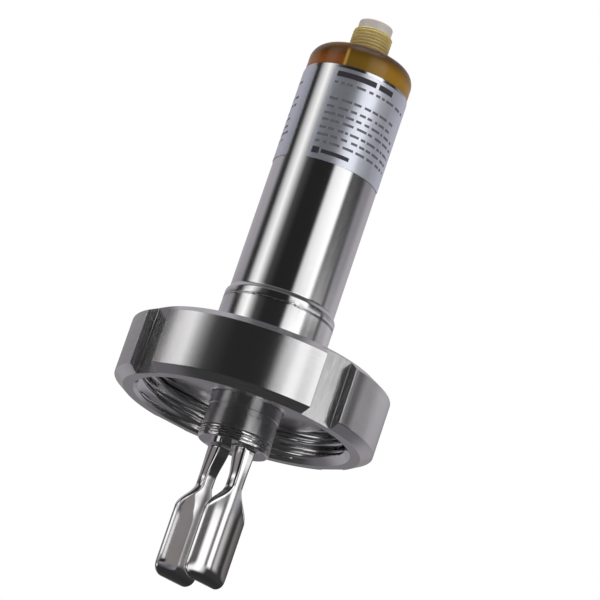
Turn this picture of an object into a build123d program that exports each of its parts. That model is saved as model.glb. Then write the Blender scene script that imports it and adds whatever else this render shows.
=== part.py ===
from build123d import *
import math
import os

# Tuning fork level switch with a slotted union nut, all sizes in millimetres.
# The origin is the centre of the adapter's sealing face, and +Z runs up the axis to the plug.
# The fork's two blades are parallel to the XZ plane, one on each side of it.

# Housing tube
TUBE_D = 31.6
TUBE_WALL = 1.2
TUBE_TOP_Z = 101.0
FOOT_STEP = 0.85
FOOT_H = 2.7
FOOT_CHAMFER = 0.9
SPIGOT_H = 3.0
SPIGOT_WALL = 1.2
WELD_Z = 26.8
WELD_GROOVE = 0.25

# Adapter with the sealing flange
FLANGE_D = 56.0
SEAL_FACE_D = 45.0
SEAL_CONE_H = 4.2
FLANGE_H = 8.5
HUB_D = 47.0
HUB_H = 4.2
HUB_FILLET = 2.5
CHAMBER_FLOOR_Z = 14.0
NECK_D = 21.0
NECK_BORE_D = 17.0
NECK_WELD_Z = -10.6
RIM_CHAMFER = 0.6

# Union nut, round thread 65 x 1/6 inch
NUT_D = 78.0
NUT_H = 21.0
NUT_BORE_D = 61.2
NUT_THREAD_D = 65.4
NUT_THREAD_L = 15.3
NUT_HOLE_CLEARANCE = 0.5
NUT_SEAT_CLEARANCE = 0.3
NUT_TOP_CHAMFER_R = 4.5
NUT_TOP_CHAMFER_H = 2.7
NUT_FOOT_CHAMFER_R = 3.1
NUT_FOOT_CHAMFER_H = 2.0
SLOT_COUNT = 4
SLOT_W = 10.8
SLOT_DEPTH = 3.8
SLOT_START_DEG = -3.2

# Fork
FORK_FACE_Z = -14.4
DIAPHRAGM_T = 1.2
TIP_Z = -55.5
RIM_BULGE = 0.2
ROOT_W = 5.0
ROOT_RIM_T = 3.0
ROOT_CROWN = 2.4
ROOT_OFFSET = 5.6
ROOT_END_Z = -21.0
SHANK_W = 4.4
SHANK_RIM_T = 2.0
SHANK_CROWN = 1.65
SHANK_OFFSET = 6.7
SHOULDER_TOP_Z = -26.3
SHOULDER_END_Z = -35.0
BLADE_W = 14.2
BLADE_RIM_T = 1.8
BLADE_CROWN_OUT = 2.1
BLADE_CROWN_IN = 1.25
BLADE_OFFSET = 6.7
BLADE_CORNER_R = 3.2
BLADE_NOSE_L = 6.0
ROOT_STEPS = 4
SHOULDER_STEPS = 8

# Drive stack in the neck
STACK_D = 11.0
PRESSURE_PIECE_H = 3.0
PRESSURE_TIP_D = 5.0
INSULATOR_T = 1.2
PIEZO_T = 1.0
PIEZO_COUNT = 4
ELECTRODE_T = 0.2
ELECTRODE_TAB_W = 2.0
ELECTRODE_TAB_L = 1.7
CLAMP_SCREW_H = 7.0
CLAMP_SCREW_CLEARANCE = 0.1
CLAMP_HEX_AF = 6.0
CLAMP_HEX_DEPTH = 4.5
CLAMP_NOTCH_W = 3.0
CLAMP_NOTCH_GAP = 0.3
LEAD_D = 0.7
LEAD_GAP = 1.2

# Cap with the M12 plug
CAP_STEP = 0.1
CAP_H = 8.7
CAP_CORNER_R = 4.8
CAP_ROOF_T = 2.0
SKIRT_CLEARANCE = 0.1
SKIRT_WALL = 2.9
SKIRT_DEPTH = 8.0
SEAL_SECTION_D = 1.76
SEAL_GROOVE_W = 2.3
SEAL_GROOVE_DEPTH = 1.75
SEAL_DEPTH = 4.0
PLUG_THREAD_D = 12.0
PLUG_LIP_D = 10.9
PLUG_H = 8.6
PLUG_CHAMFER = 0.5
INSERT_D = 10.3
INSERT_PROUD = 2.9
INSERT_WALL = 0.9
INSERT_WELL = 8.7
INSERT_RIM_R = 0.4
INSERT_FLANGE_D = 15.0
INSERT_FLANGE_T = 2.0
INSERT_CLEARANCE = 0.05
KEY_W = 1.4
KEY_T = 0.7
PIN_D = 1.0
PIN_CIRCLE_D = 5.5
PIN_COUNT = 4
PIN_RECESS = 1.7
PIN_TAIL = 1.2
PIN_CLEARANCE = 0.05

# Electronics
CARRIER_BASE_T = 3.0
CARRIER_CLEARANCE = 0.2
CARRIER_LEAD_HOLE_D = 3.0
RAIL_W = 6.0
RAIL_T = 1.8
RAIL_CLEARANCE = 0.3
BOARD_T = 1.6
BOARD_GROOVE_DEPTH = 0.9
BOARD_CLEARANCE = 0.1
BOARD_END_GAP = 1.5
CONTACT_BOARD_Z = 95.0
CONTROLLER_SIZE = (9.0, 9.0)
CONTROLLER_T = 1.4
CONTROLLER_Z = 58.0
OUTPUT_SIZE = (6.0, 8.0)
OUTPUT_T = 2.2
OUTPUT_Z = 78.0
CAPACITOR_D = 6.3
CAPACITOR_H = 7.5
CAPACITOR_BASE_W = 6.6
CAPACITOR_BASE_T = 0.8
CAPACITOR_Z = 42.0
INDUCTOR_D = 8.0
INDUCTOR_NECK_D = 4.5
INDUCTOR_H = 5.0
INDUCTOR_FLANGE_T = 1.0
INDUCTOR_Z = 28.0
LED_D = 3.0
LED_H = 5.0
LED_EDGE = 0.1
LED_FLANGE_D = 3.8
LED_FLANGE_T = 1.0
LED_DEG = (-86.0, 94.0)

# Labels, turned from +X about the axis
LABEL_T = 0.15
LABEL_GLUE = 0.05
LABEL_TOP_GAP = 1.0
RATING_LABEL_H = 29.0
RATING_LABEL_ARC = 31.0
RATING_LABEL_DEG = -98.5
SIDE_LABEL_H = 29.0
SIDE_LABEL_ARC = 20.0
SIDE_LABEL_DEG = 145.0

# Sizes that follow from the ones above
# A form is a tine's half width, half rim, outer crown, inner crown and distance from the axis.
TUBE_BORE_D = TUBE_D - 2 * TUBE_WALL
FOOT_D = TUBE_D + 2 * FOOT_STEP
FOOT_TOP_Z = WELD_Z + FOOT_H
CAP_D = TUBE_D - 2 * CAP_STEP
NUT_SEAT_Z = FLANGE_H + NUT_SEAT_CLEARANCE
NUT_BOTTOM_Z = NUT_SEAT_Z - NUT_THREAD_L
NUT_TOP_Z = NUT_BOTTOM_Z + NUT_H
NUT_HOLE_D = HUB_D + 2 * NUT_HOLE_CLEARANCE
SLOT_FLOOR_R = NUT_D / 2 - SLOT_DEPTH
DIAPHRAGM_TOP_Z = FORK_FACE_Z + DIAPHRAGM_T
ROOT_FORM = (ROOT_W / 2, ROOT_RIM_T / 2, ROOT_CROWN, ROOT_CROWN, ROOT_OFFSET)
SHANK_FORM = (SHANK_W / 2, SHANK_RIM_T / 2, SHANK_CROWN, SHANK_CROWN, SHANK_OFFSET)
BLADE_FORM = (BLADE_W / 2, BLADE_RIM_T / 2, BLADE_CROWN_OUT, BLADE_CROWN_IN, BLADE_OFFSET)
CHAMBER_D = TUBE_BORE_D - 2 * SPIGOT_WALL
ELECTRODE_TAB_R = STACK_D / 2 + ELECTRODE_TAB_L
CLAMP_NOTCH_R = STACK_D / 2 + CLAMP_NOTCH_GAP
LEAD_R = STACK_D / 2 + LEAD_GAP
CAP_TOP_Z = TUBE_TOP_Z + CAP_H
CAP_ROOF_Z = CAP_TOP_Z - CAP_ROOF_T
SKIRT_D = TUBE_BORE_D - 2 * SKIRT_CLEARANCE
SKIRT_BORE_D = SKIRT_D - 2 * SKIRT_WALL
SKIRT_Z = TUBE_TOP_Z - SKIRT_DEPTH
SEAL_Z = TUBE_TOP_Z - SEAL_DEPTH
PLUG_TOP_Z = CAP_TOP_Z + PLUG_H
INSERT_TOP_Z = PLUG_TOP_Z + INSERT_PROUD
WELL_FLOOR_Z = INSERT_TOP_Z - INSERT_WELL
CARRIER_BASE_TOP_Z = CHAMBER_FLOOR_Z + CARRIER_BASE_T
RAIL_OUTER_D = SKIRT_BORE_D - 2 * RAIL_CLEARANCE
RAIL_INNER_D = RAIL_OUTER_D - 2 * RAIL_T
BOARD_W = RAIL_INNER_D + 2 * (BOARD_GROOVE_DEPTH - BOARD_CLEARANCE)
BOARD_BOTTOM_Z = CARRIER_BASE_TOP_Z
BOARD_TOP_Z = CONTACT_BOARD_Z - BOARD_END_GAP
BOARD_FACE_Y = BOARD_T / 2
CONTACT_BOARD_TOP_Z = CONTACT_BOARD_Z + BOARD_T
LED_R = RAIL_OUTER_D / 2 - LED_FLANGE_D / 2 - LED_EDGE


def turned(*points):
    """A solid of revolution about Z from (radius, height) points."""
    outline = Plane.XZ * make_face(Polyline(*points, close=True))
    return revolve(outline, axis=Axis.Z)


def disc(diameter, bottom, thickness):
    """An upright round plate whose lower face is at the height bottom."""
    plate = Cylinder(diameter / 2, thickness, align=(Align.CENTER, Align.CENTER, Align.MIN))
    return Pos(0, 0, bottom) * plate


def block(width, depth, bottom, height, x=0.0, y=0.0):
    """An upright block centred at x, y whose lower face is at the height bottom."""
    body = Box(width, depth, height, align=(Align.CENTER, Align.CENTER, Align.MIN))
    return Pos(x, y, bottom) * body


def smooth(start, end, share):
    """Goes from start to end with level ends as share goes from 0 to 1."""
    eased = share * share * (3 - 2 * share)
    return start + (end - start) * eased


def housing_tube():
    """Drawn tube with a thicker foot that is welded onto the adapter."""
    foot_r = FOOT_D / 2
    shell = turned(
        (TUBE_BORE_D / 2, WELD_Z),
        (foot_r - WELD_GROOVE, WELD_Z),
        (foot_r, WELD_Z + WELD_GROOVE),
        (foot_r, FOOT_TOP_Z),
        (TUBE_D / 2, FOOT_TOP_Z + FOOT_CHAMFER),
        (TUBE_D / 2, TUBE_TOP_Z),
        (TUBE_BORE_D / 2, TUBE_TOP_Z),
    )
    return shell


def union_liner():
    """Turned adapter: neck, conical sealing flange, hub under the nut and collar."""
    neck_r = NECK_D / 2
    foot_r = FOOT_D / 2
    spigot_r = TUBE_BORE_D / 2
    body = turned(
        (NECK_BORE_D / 2, NECK_WELD_Z),
        (neck_r - WELD_GROOVE, NECK_WELD_Z),
        (neck_r, NECK_WELD_Z + WELD_GROOVE),
        (neck_r, 0),
        (SEAL_FACE_D / 2, 0),
        (FLANGE_D / 2, SEAL_CONE_H),
        (FLANGE_D / 2, FLANGE_H - RIM_CHAMFER),
        (FLANGE_D / 2 - RIM_CHAMFER, FLANGE_H),
        (HUB_D / 2, FLANGE_H),
        (HUB_D / 2, FLANGE_H + HUB_H - RIM_CHAMFER),
        (HUB_D / 2 - RIM_CHAMFER, FLANGE_H + HUB_H),
        (foot_r, FLANGE_H + HUB_H),
        (foot_r, WELD_Z - WELD_GROOVE),
        (foot_r - WELD_GROOVE, WELD_Z),
        (spigot_r, WELD_Z),
        (spigot_r, WELD_Z + SPIGOT_H),
        (CHAMBER_D / 2, WELD_Z + SPIGOT_H),
        (CHAMBER_D / 2, CHAMBER_FLOOR_Z),
        (NECK_BORE_D / 2, CHAMBER_FLOOR_Z),
    )
    root = body.edges().filter_by(GeomType.CIRCLE).filter_by(
        lambda edge: abs(edge.radius - foot_r) < 0.01
        and abs(edge.center().Z - FLANGE_H - HUB_H) < 0.01
    )
    return fillet(root, HUB_FILLET)


def union_nut():
    """Slotted nut with its thread as a plain bore at the thread's inner diameter."""
    outer_r = NUT_D / 2
    bore_r = NUT_BORE_D / 2
    mouth_r = NUT_THREAD_D / 2
    mouth_h = mouth_r - bore_r
    body = turned(
        (mouth_r, NUT_BOTTOM_Z),
        (outer_r - NUT_FOOT_CHAMFER_R, NUT_BOTTOM_Z),
        (outer_r, NUT_BOTTOM_Z + NUT_FOOT_CHAMFER_H),
        (outer_r, NUT_TOP_Z - NUT_TOP_CHAMFER_H),
        (outer_r - NUT_TOP_CHAMFER_R, NUT_TOP_Z),
        (NUT_HOLE_D / 2 + RIM_CHAMFER, NUT_TOP_Z),
        (NUT_HOLE_D / 2, NUT_TOP_Z - RIM_CHAMFER),
        (NUT_HOLE_D / 2, NUT_SEAT_Z),
        (bore_r, NUT_SEAT_Z),
        (bore_r, NUT_BOTTOM_Z + mouth_h),
    )
    slot_depth = outer_r
    cutter = block(slot_depth, SLOT_W, NUT_BOTTOM_Z - 1, NUT_H + 2, SLOT_FLOOR_R + slot_depth / 2)
    for number in range(SLOT_COUNT):
        body -= Rot(0, 0, SLOT_START_DEG + number * 360 / SLOT_COUNT) * cutter
    return body


def tine_section(height, start, finish, share):
    """One level section between two forms: bulged rims joined by an outer and an inner crown."""
    half_w, half_rim, crown_out, crown_in, offset = (smooth(*pair, share) for pair in zip(start, finish))
    left_in = (-half_w, -offset + half_rim)
    left_out = (-half_w, -offset - half_rim)
    right_out = (half_w, -offset - half_rim)
    right_in = (half_w, -offset + half_rim)
    outline = Curve() + [
        ThreePointArc(left_in, (-half_w - RIM_BULGE, -offset), left_out),
        ThreePointArc(left_out, (0, -offset - crown_out), right_out),
        ThreePointArc(right_out, (half_w + RIM_BULGE, -offset), right_in),
        ThreePointArc(right_in, (0, -offset + crown_in), left_in),
    ]
    return Pos(0, 0, height) * make_face(outline)


def blade_tip():
    """The space that a blade's lower end fills: round corners and a thinning nose."""
    reach = BLADE_W
    height = SHANK_OFFSET - TIP_Z
    corner = Pos(0, 0, TIP_Z + height / 2) * Box(BLADE_W + 2 * RIM_BULGE, 2 * reach, height)
    corner = fillet(corner.edges().filter_by(Axis.Y).group_by(Axis.Z)[0], BLADE_CORNER_R)
    start = (BLADE_OFFSET + BLADE_CROWN_OUT, TIP_Z + BLADE_NOSE_L)
    finish = (BLADE_OFFSET - BLADE_CROWN_IN, TIP_Z + BLADE_NOSE_L)
    middle = (start[0] + finish[0]) / 2
    half = (start[0] - finish[0]) / 2
    bow = math.sqrt(0.5)
    bow_z = TIP_Z + BLADE_NOSE_L * (1 - bow)
    nose = Curve() + [
        ThreePointArc(start, (middle + half * bow, bow_z), (middle, TIP_Z)),
        ThreePointArc((middle, TIP_Z), (middle - half * bow, bow_z), finish),
        Polyline(finish, (-reach, start[1]), (-reach, 0), (reach, 0), (reach, start[1]), start),
    ]
    side = Plane.YZ * make_face(mirror(nose, Plane.YZ))
    return corner & extrude(side, reach, both=True)


def tine():
    """One tine on the -Y side: thick root, shank, shoulder and blade."""
    sections = [tine_section(FORK_FACE_Z + DIAPHRAGM_T / 2, ROOT_FORM, SHANK_FORM, 0)]
    for step in range(ROOT_STEPS + 1):
        share = step / ROOT_STEPS
        height = FORK_FACE_Z + (ROOT_END_Z - FORK_FACE_Z) * share
        sections.append(tine_section(height, ROOT_FORM, SHANK_FORM, share))
    for step in range(SHOULDER_STEPS + 1):
        share = step / SHOULDER_STEPS
        height = SHOULDER_TOP_Z + (SHOULDER_END_Z - SHOULDER_TOP_Z) * share
        sections.append(tine_section(height, SHANK_FORM, BLADE_FORM, share))
    upper = loft(sections)
    blade = extrude(sections[-1], SHOULDER_END_Z - TIP_Z, dir=(0, 0, -1))
    return upper + (blade & blade_tip())


def fork():
    """One casting: cup with its diaphragm and two tines."""
    neck_r = NECK_D / 2
    cup = turned(
        (0, FORK_FACE_Z),
        (neck_r - RIM_CHAMFER / 2, FORK_FACE_Z),
        (neck_r, FORK_FACE_Z + RIM_CHAMFER / 2),
        (neck_r, NECK_WELD_Z - WELD_GROOVE),
        (neck_r - WELD_GROOVE, NECK_WELD_Z),
        (NECK_BORE_D / 2, NECK_WELD_Z),
        (NECK_BORE_D / 2, DIAPHRAGM_TOP_Z),
        (0, DIAPHRAGM_TOP_Z),
    )
    near = tine()
    return cup + near + Rot(0, 0, 180) * near


def stack_pieces():
    """Pressure piece, ceramics, piezo discs and electrodes, each on the one below it."""
    pieces = {}
    level = DIAPHRAGM_TOP_Z
    pieces["pressure_piece"] = turned(
        (0, level),
        (PRESSURE_TIP_D / 2, level),
        (STACK_D / 2, level + (STACK_D - PRESSURE_TIP_D) / 4),
        (STACK_D / 2, level + PRESSURE_PIECE_H),
        (0, level + PRESSURE_PIECE_H),
    )
    level += PRESSURE_PIECE_H
    pieces["lower_insulator"] = disc(STACK_D, level, INSULATOR_T)
    level += INSULATOR_T
    for number in range(1, PIEZO_COUNT + 1):
        pieces[f"piezo_disc_{number}"] = disc(STACK_D, level, PIEZO_T)
        level += PIEZO_T
        if number < PIEZO_COUNT:
            tab_l = ELECTRODE_TAB_R
            tab = block(tab_l, ELECTRODE_TAB_W, level, ELECTRODE_T, tab_l / 2)
            plate = disc(STACK_D, level, ELECTRODE_T) + tab
            pieces[f"electrode_{number}"] = Rot(0, 0, electrode_angle(number)) * plate
            level += ELECTRODE_T
    pieces["upper_insulator"] = disc(STACK_D, level, INSULATOR_T)
    level += INSULATOR_T
    pieces["clamp_screw"] = clamp_screw(level)
    return pieces


def electrode_angle(number):
    """Direction of an electrode's tab, in degrees from +X."""
    return 90.0 + (number - 1) * 360 / (PIEZO_COUNT - 1)


def electrode_top(number):
    """Height of an electrode's upper face."""
    below = PRESSURE_PIECE_H + INSULATOR_T + number * (PIEZO_T + ELECTRODE_T)
    return DIAPHRAGM_TOP_Z + below


def clamp_screw(bottom):
    """Threaded plug that clamps the stack, with a hexagon socket and notches for the leads."""
    body = disc(NECK_BORE_D - 2 * CLAMP_SCREW_CLEARANCE, bottom, CLAMP_SCREW_H)
    socket = extrude(RegularPolygon(CLAMP_HEX_AF / 2, 6, major_radius=False), CLAMP_HEX_DEPTH)
    body -= Pos(0, 0, bottom + CLAMP_SCREW_H - CLAMP_HEX_DEPTH) * socket
    depth = NECK_BORE_D / 2 - CLAMP_NOTCH_R
    notch = block(depth, CLAMP_NOTCH_W, bottom - 1, CLAMP_SCREW_H + 2, CLAMP_NOTCH_R + depth / 2)
    for number in range(1, PIEZO_COUNT):
        body -= Rot(0, 0, electrode_angle(number)) * notch
    return body


def lead(number):
    """Stiff insulated wire from an electrode's tab up through the carrier's base."""
    start = electrode_top(number)
    angle = math.radians(electrode_angle(number))
    place = Pos(LEAD_R * math.cos(angle), LEAD_R * math.sin(angle), 0)
    return place * disc(LEAD_D, start, CARRIER_BASE_TOP_Z + CARRIER_BASE_T - start)


def connector_cap():
    """Moulded cap: domed edge, hollow skirt with a seal groove and the M12 nozzle."""
    cap_r = CAP_D / 2
    plug_r = PLUG_THREAD_D / 2
    bore_r = INSERT_D / 2 + INSERT_CLEARANCE
    groove_r = SKIRT_D / 2 - SEAL_GROOVE_DEPTH
    body = turned(
        (bore_r, CAP_ROOF_Z),
        (SKIRT_BORE_D / 2, CAP_ROOF_Z),
        (SKIRT_BORE_D / 2, SKIRT_Z),
        (SKIRT_D / 2, SKIRT_Z),
        (SKIRT_D / 2, SEAL_Z - SEAL_GROOVE_W / 2),
        (groove_r, SEAL_Z - SEAL_GROOVE_W / 2),
        (groove_r, SEAL_Z + SEAL_GROOVE_W / 2),
        (SKIRT_D / 2, SEAL_Z + SEAL_GROOVE_W / 2),
        (SKIRT_D / 2, TUBE_TOP_Z),
        (cap_r, TUBE_TOP_Z),
        (cap_r, CAP_TOP_Z),
        (plug_r, CAP_TOP_Z),
        (plug_r, PLUG_TOP_Z - PLUG_CHAMFER),
        (PLUG_LIP_D / 2, PLUG_TOP_Z),
        (bore_r, PLUG_TOP_Z),
    )
    corner = body.edges().filter_by(GeomType.CIRCLE).filter_by(
        lambda edge: abs(edge.radius - cap_r) < 0.01 and edge.center().Z > CAP_TOP_Z - 0.01
    )
    return fillet(corner, CAP_CORNER_R)


def cap_seal():
    """O-ring in the groove of the cap's skirt."""
    centre_r = TUBE_BORE_D / 2 - SEAL_SECTION_D / 2 - INSERT_CLEARANCE
    return Pos(0, 0, SEAL_Z) * Torus(centre_r, SEAL_SECTION_D / 2)


def pin_places():
    """Centres of the contact pins on their circle."""
    return PolarLocations(PIN_CIRCLE_D / 2, PIN_COUNT, start_angle=45)


def contact_insert():
    """Sleeve with the contact well, its coding key and the holes for the pins."""
    outer_r = INSERT_D / 2
    well_r = outer_r - INSERT_WALL
    body = turned(
        (0, CAP_ROOF_Z - INSERT_FLANGE_T),
        (INSERT_FLANGE_D / 2, CAP_ROOF_Z - INSERT_FLANGE_T),
        (INSERT_FLANGE_D / 2, CAP_ROOF_Z),
        (outer_r, CAP_ROOF_Z),
        (outer_r, INSERT_TOP_Z),
        (well_r, INSERT_TOP_Z),
        (well_r, WELL_FLOOR_Z),
        (0, WELL_FLOOR_Z),
    )
    rim = body.edges().filter_by(GeomType.CIRCLE).group_by(Axis.Z)[-1]
    body = fillet(rim, INSERT_RIM_R)
    body += block(KEY_T, KEY_W, WELL_FLOOR_Z, INSERT_WELL - 1, well_r - KEY_T / 4)
    start = CAP_ROOF_Z - INSERT_FLANGE_T - 1
    for place in pin_places():
        body -= place * disc(PIN_D + 2 * PIN_CLEARANCE, start, WELL_FLOOR_Z + 1 - start)
    return body


def contact_pin():
    """Round gold-plated pin with a domed end, soldered in the contact board."""
    bottom = CONTACT_BOARD_Z - PIN_TAIL
    body = disc(PIN_D, bottom, INSERT_TOP_Z - PIN_RECESS - bottom)
    return fillet(body.edges().group_by(Axis.Z)[-1], PIN_D / 2 - PIN_CLEARANCE)


def board_carrier():
    """Moulded carrier: round base on the chamber's floor and two grooved rails."""
    base = disc(CHAMBER_D - 2 * CARRIER_CLEARANCE, CHAMBER_FLOOR_Z, CARRIER_BASE_T)
    rail_h = CONTACT_BOARD_Z - CARRIER_BASE_TOP_Z
    ring = disc(RAIL_OUTER_D, CARRIER_BASE_TOP_Z, rail_h) - disc(RAIL_INNER_D, CARRIER_BASE_TOP_Z, rail_h)
    rails = ring & block(RAIL_OUTER_D, RAIL_W, CARRIER_BASE_TOP_Z, rail_h)
    groove_w = RAIL_INNER_D + 2 * BOARD_GROOVE_DEPTH
    groove = block(groove_w, BOARD_T + 2 * BOARD_CLEARANCE, CARRIER_BASE_TOP_Z, rail_h)
    body = base + (rails - groove)
    for number in range(1, PIEZO_COUNT):
        angle = math.radians(electrode_angle(number))
        place = Pos(LEAD_R * math.cos(angle), LEAD_R * math.sin(angle), 0)
        body -= place * disc(CARRIER_LEAD_HOLE_D, CHAMBER_FLOOR_Z - 1, CARRIER_BASE_T + 2)
    return body


def main_board():
    """Upright circuit board in the carrier's grooves."""
    return block(BOARD_W, BOARD_T, BOARD_BOTTOM_Z, BOARD_TOP_Z - BOARD_BOTTOM_Z)


def contact_board():
    """Round board on the carrier's rails that holds the pins and the lamps."""
    body = disc(RAIL_OUTER_D, CONTACT_BOARD_Z, BOARD_T)
    for place in pin_places():
        body -= place * disc(PIN_D + 2 * PIN_CLEARANCE, CONTACT_BOARD_Z - 1, BOARD_T + 2)
    return body


def chip(size, thickness, centre_z):
    """Flat moulded package on the board's front."""
    body = block(size[0], thickness, centre_z - size[1] / 2, size[1], 0, -BOARD_FACE_Y - thickness / 2)
    return chamfer(body.faces().sort_by(Axis.Y)[0].edges(), thickness / 8)


def capacitor():
    """Can capacitor standing off the board on its square plastic base."""
    start = Plane((0, -BOARD_FACE_Y, CAPACITOR_Z), z_dir=(0, -1, 0))
    base = start * block(CAPACITOR_BASE_W, CAPACITOR_BASE_W, 0, CAPACITOR_BASE_T)
    can = start * disc(CAPACITOR_D, 0, CAPACITOR_H)
    top = can.edges().sort_by(Axis.Y)[0]
    return base + fillet(top, CAPACITOR_D / 12)


def inductor():
    """Drum core choke on the board's front."""
    waist_h = INDUCTOR_H - 2 * INDUCTOR_FLANGE_T
    outline = make_face(
        Polyline(
            (0, 0),
            (INDUCTOR_D / 2, 0),
            (INDUCTOR_D / 2, INDUCTOR_FLANGE_T),
            (INDUCTOR_NECK_D / 2, INDUCTOR_FLANGE_T),
            (INDUCTOR_NECK_D / 2, INDUCTOR_FLANGE_T + waist_h),
            (INDUCTOR_D / 2, INDUCTOR_FLANGE_T + waist_h),
            (INDUCTOR_D / 2, INDUCTOR_H),
            (0, INDUCTOR_H),
            close=True,
        )
    )
    drum = revolve(Plane.XZ * outline, axis=Axis.Z)
    return Plane((0, -BOARD_FACE_Y, INDUCTOR_Z), z_dir=(0, -1, 0)) * drum


def status_lamp(angle):
    """Round light-emitting diode on the contact board, under the translucent cap."""
    radius = LED_D / 2
    body = disc(LED_D, CONTACT_BOARD_TOP_Z, LED_H - radius)
    body += Pos(0, 0, CONTACT_BOARD_TOP_Z + LED_H - radius) * Sphere(radius)
    body += disc(LED_FLANGE_D, CONTACT_BOARD_TOP_Z, LED_FLANGE_T)
    turn = math.radians(angle)
    return Pos(LED_R * math.cos(turn), LED_R * math.sin(turn), 0) * body


def curved_label(height, arc, centre_deg):
    """Thin label that follows the tube over the given arc length."""
    inner_r = TUBE_D / 2 + LABEL_GLUE
    span = math.degrees(arc / inner_r)
    top = TUBE_TOP_Z - LABEL_TOP_GAP
    outline = make_face(
        Polyline(
            (inner_r, top - height),
            (inner_r + LABEL_T, top - height),
            (inner_r + LABEL_T, top),
            (inner_r, top),
            close=True,
        )
    )
    sheet = revolve(Plane.XZ * outline, axis=Axis.Z, revolution_arc=span)
    start = sheet.center()
    turn = centre_deg - math.degrees(math.atan2(start.Y, start.X))
    return Rot(0, 0, turn) * sheet


def all_pieces():
    """Every piece of the switch under the name of its file."""
    pieces = {
        "fork": fork(),
        "union_liner": union_liner(),
        "union_nut": union_nut(),
        "housing_tube": housing_tube(),
        "connector_cap": connector_cap(),
        "cap_seal": cap_seal(),
        "contact_insert": contact_insert(),
        "board_carrier": board_carrier(),
        "main_board": main_board(),
        "contact_board": contact_board(),
        "controller_chip": chip(CONTROLLER_SIZE, CONTROLLER_T, CONTROLLER_Z),
        "output_chip": chip(OUTPUT_SIZE, OUTPUT_T, OUTPUT_Z),
        "capacitor": capacitor(),
        "inductor": inductor(),
        "rating_label": curved_label(RATING_LABEL_H, RATING_LABEL_ARC, RATING_LABEL_DEG),
        "side_label": curved_label(SIDE_LABEL_H, SIDE_LABEL_ARC, SIDE_LABEL_DEG),
    }
    pieces.update(stack_pieces())
    for number in range(1, PIEZO_COUNT):
        pieces[f"drive_lead_{number}"] = lead(number)
    for number, place in enumerate(pin_places(), start=1):
        pieces[f"contact_pin_{number}"] = place * contact_pin()
    for number, angle in enumerate(LED_DEG, start=1):
        pieces[f"status_lamp_{number}"] = status_lamp(angle)
    return pieces


os.makedirs("parts", exist_ok=True)
for name, piece in all_pieces().items():
    piece.label = name
    export_step(piece, f"parts/{name}.step")
    print(name, round(piece.volume, 1))
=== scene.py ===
# The looks of a tuning fork level switch: steel tube, slotted union nut, polished fork and amber plug cap.
# The frame is the part's own, in metres: +Z towards the plug, origin at the sealing face.
# Sizes of the pieces are named in millimetres, and MM turns them into metres.
import math
import random

import bmesh
import bpy
from mathutils import Matrix, Vector, noise


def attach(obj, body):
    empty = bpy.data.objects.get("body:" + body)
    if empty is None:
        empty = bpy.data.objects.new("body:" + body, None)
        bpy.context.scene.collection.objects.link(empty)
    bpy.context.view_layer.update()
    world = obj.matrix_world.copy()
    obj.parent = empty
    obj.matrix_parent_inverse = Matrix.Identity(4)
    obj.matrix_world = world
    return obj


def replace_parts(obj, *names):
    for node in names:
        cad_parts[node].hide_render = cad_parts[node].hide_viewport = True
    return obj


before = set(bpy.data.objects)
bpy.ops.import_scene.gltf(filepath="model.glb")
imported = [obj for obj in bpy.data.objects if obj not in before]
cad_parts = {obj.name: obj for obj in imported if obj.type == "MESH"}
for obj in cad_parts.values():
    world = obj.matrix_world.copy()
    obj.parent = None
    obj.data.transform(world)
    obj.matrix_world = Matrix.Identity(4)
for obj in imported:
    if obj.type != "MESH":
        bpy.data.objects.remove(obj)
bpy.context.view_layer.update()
MM = 0.001


# The camera stands low in front of the switch and looks up at it, leaning as the photograph does.
# Its distance, view angle and lean come from a perspective fit of the nut, tube and cap outlines.
VIEW_AZIMUTH = math.radians(-37.0)
VIEW_BELOW = math.radians(15.8)
LEAN = math.radians(18.8)
CAMERA_DISTANCE = 969.1 * MM
FOCAL_PIXELS = 3385.8
FRAME_PIXELS = 600
SENSOR_MM = 36.0
AIM_SIDE = -16.79 * MM
AIM_UP = -34.78 * MM
AIM_POINT = Vector((0, 0, -6.2 * MM))
NEAREST_SEEN = 0.01
FARTHEST_SEEN = 50


def view_axes():
    """Right, up and back directions of the leaning camera."""
    right = Vector((math.cos(VIEW_AZIMUTH), math.sin(VIEW_AZIMUTH), 0))
    away = Vector((-math.sin(VIEW_AZIMUTH), math.cos(VIEW_AZIMUTH), 0))
    up = Vector((0, 0, math.cos(VIEW_BELOW))) - away * math.sin(VIEW_BELOW)
    back = -away * math.cos(VIEW_BELOW) - Vector((0, 0, math.sin(VIEW_BELOW)))
    leaned_right = right * math.cos(LEAN) + up * math.sin(LEAN)
    leaned_up = up * math.cos(LEAN) - right * math.sin(LEAN)
    return leaned_right, leaned_up, back


def add_object(name, data):
    """Puts a new object into the scene."""
    thing = bpy.data.objects.new(name, data)
    bpy.context.scene.collection.objects.link(thing)
    return thing


def place_camera():
    right, up, back = view_axes()
    camera = add_object("studio_camera", bpy.data.cameras.new("studio_camera"))
    spot = AIM_POINT - right * AIM_SIDE - up * AIM_UP + back * CAMERA_DISTANCE
    turn = Matrix((right, up, back)).transposed().to_4x4()
    camera.matrix_world = Matrix.Translation(spot) @ turn
    camera.data.sensor_width = SENSOR_MM
    camera.data.lens = FOCAL_PIXELS / FRAME_PIXELS * SENSOR_MM
    camera.data.clip_start = NEAREST_SEEN
    camera.data.clip_end = FARTHEST_SEEN
    bpy.context.scene.camera = camera


place_camera()


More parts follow.
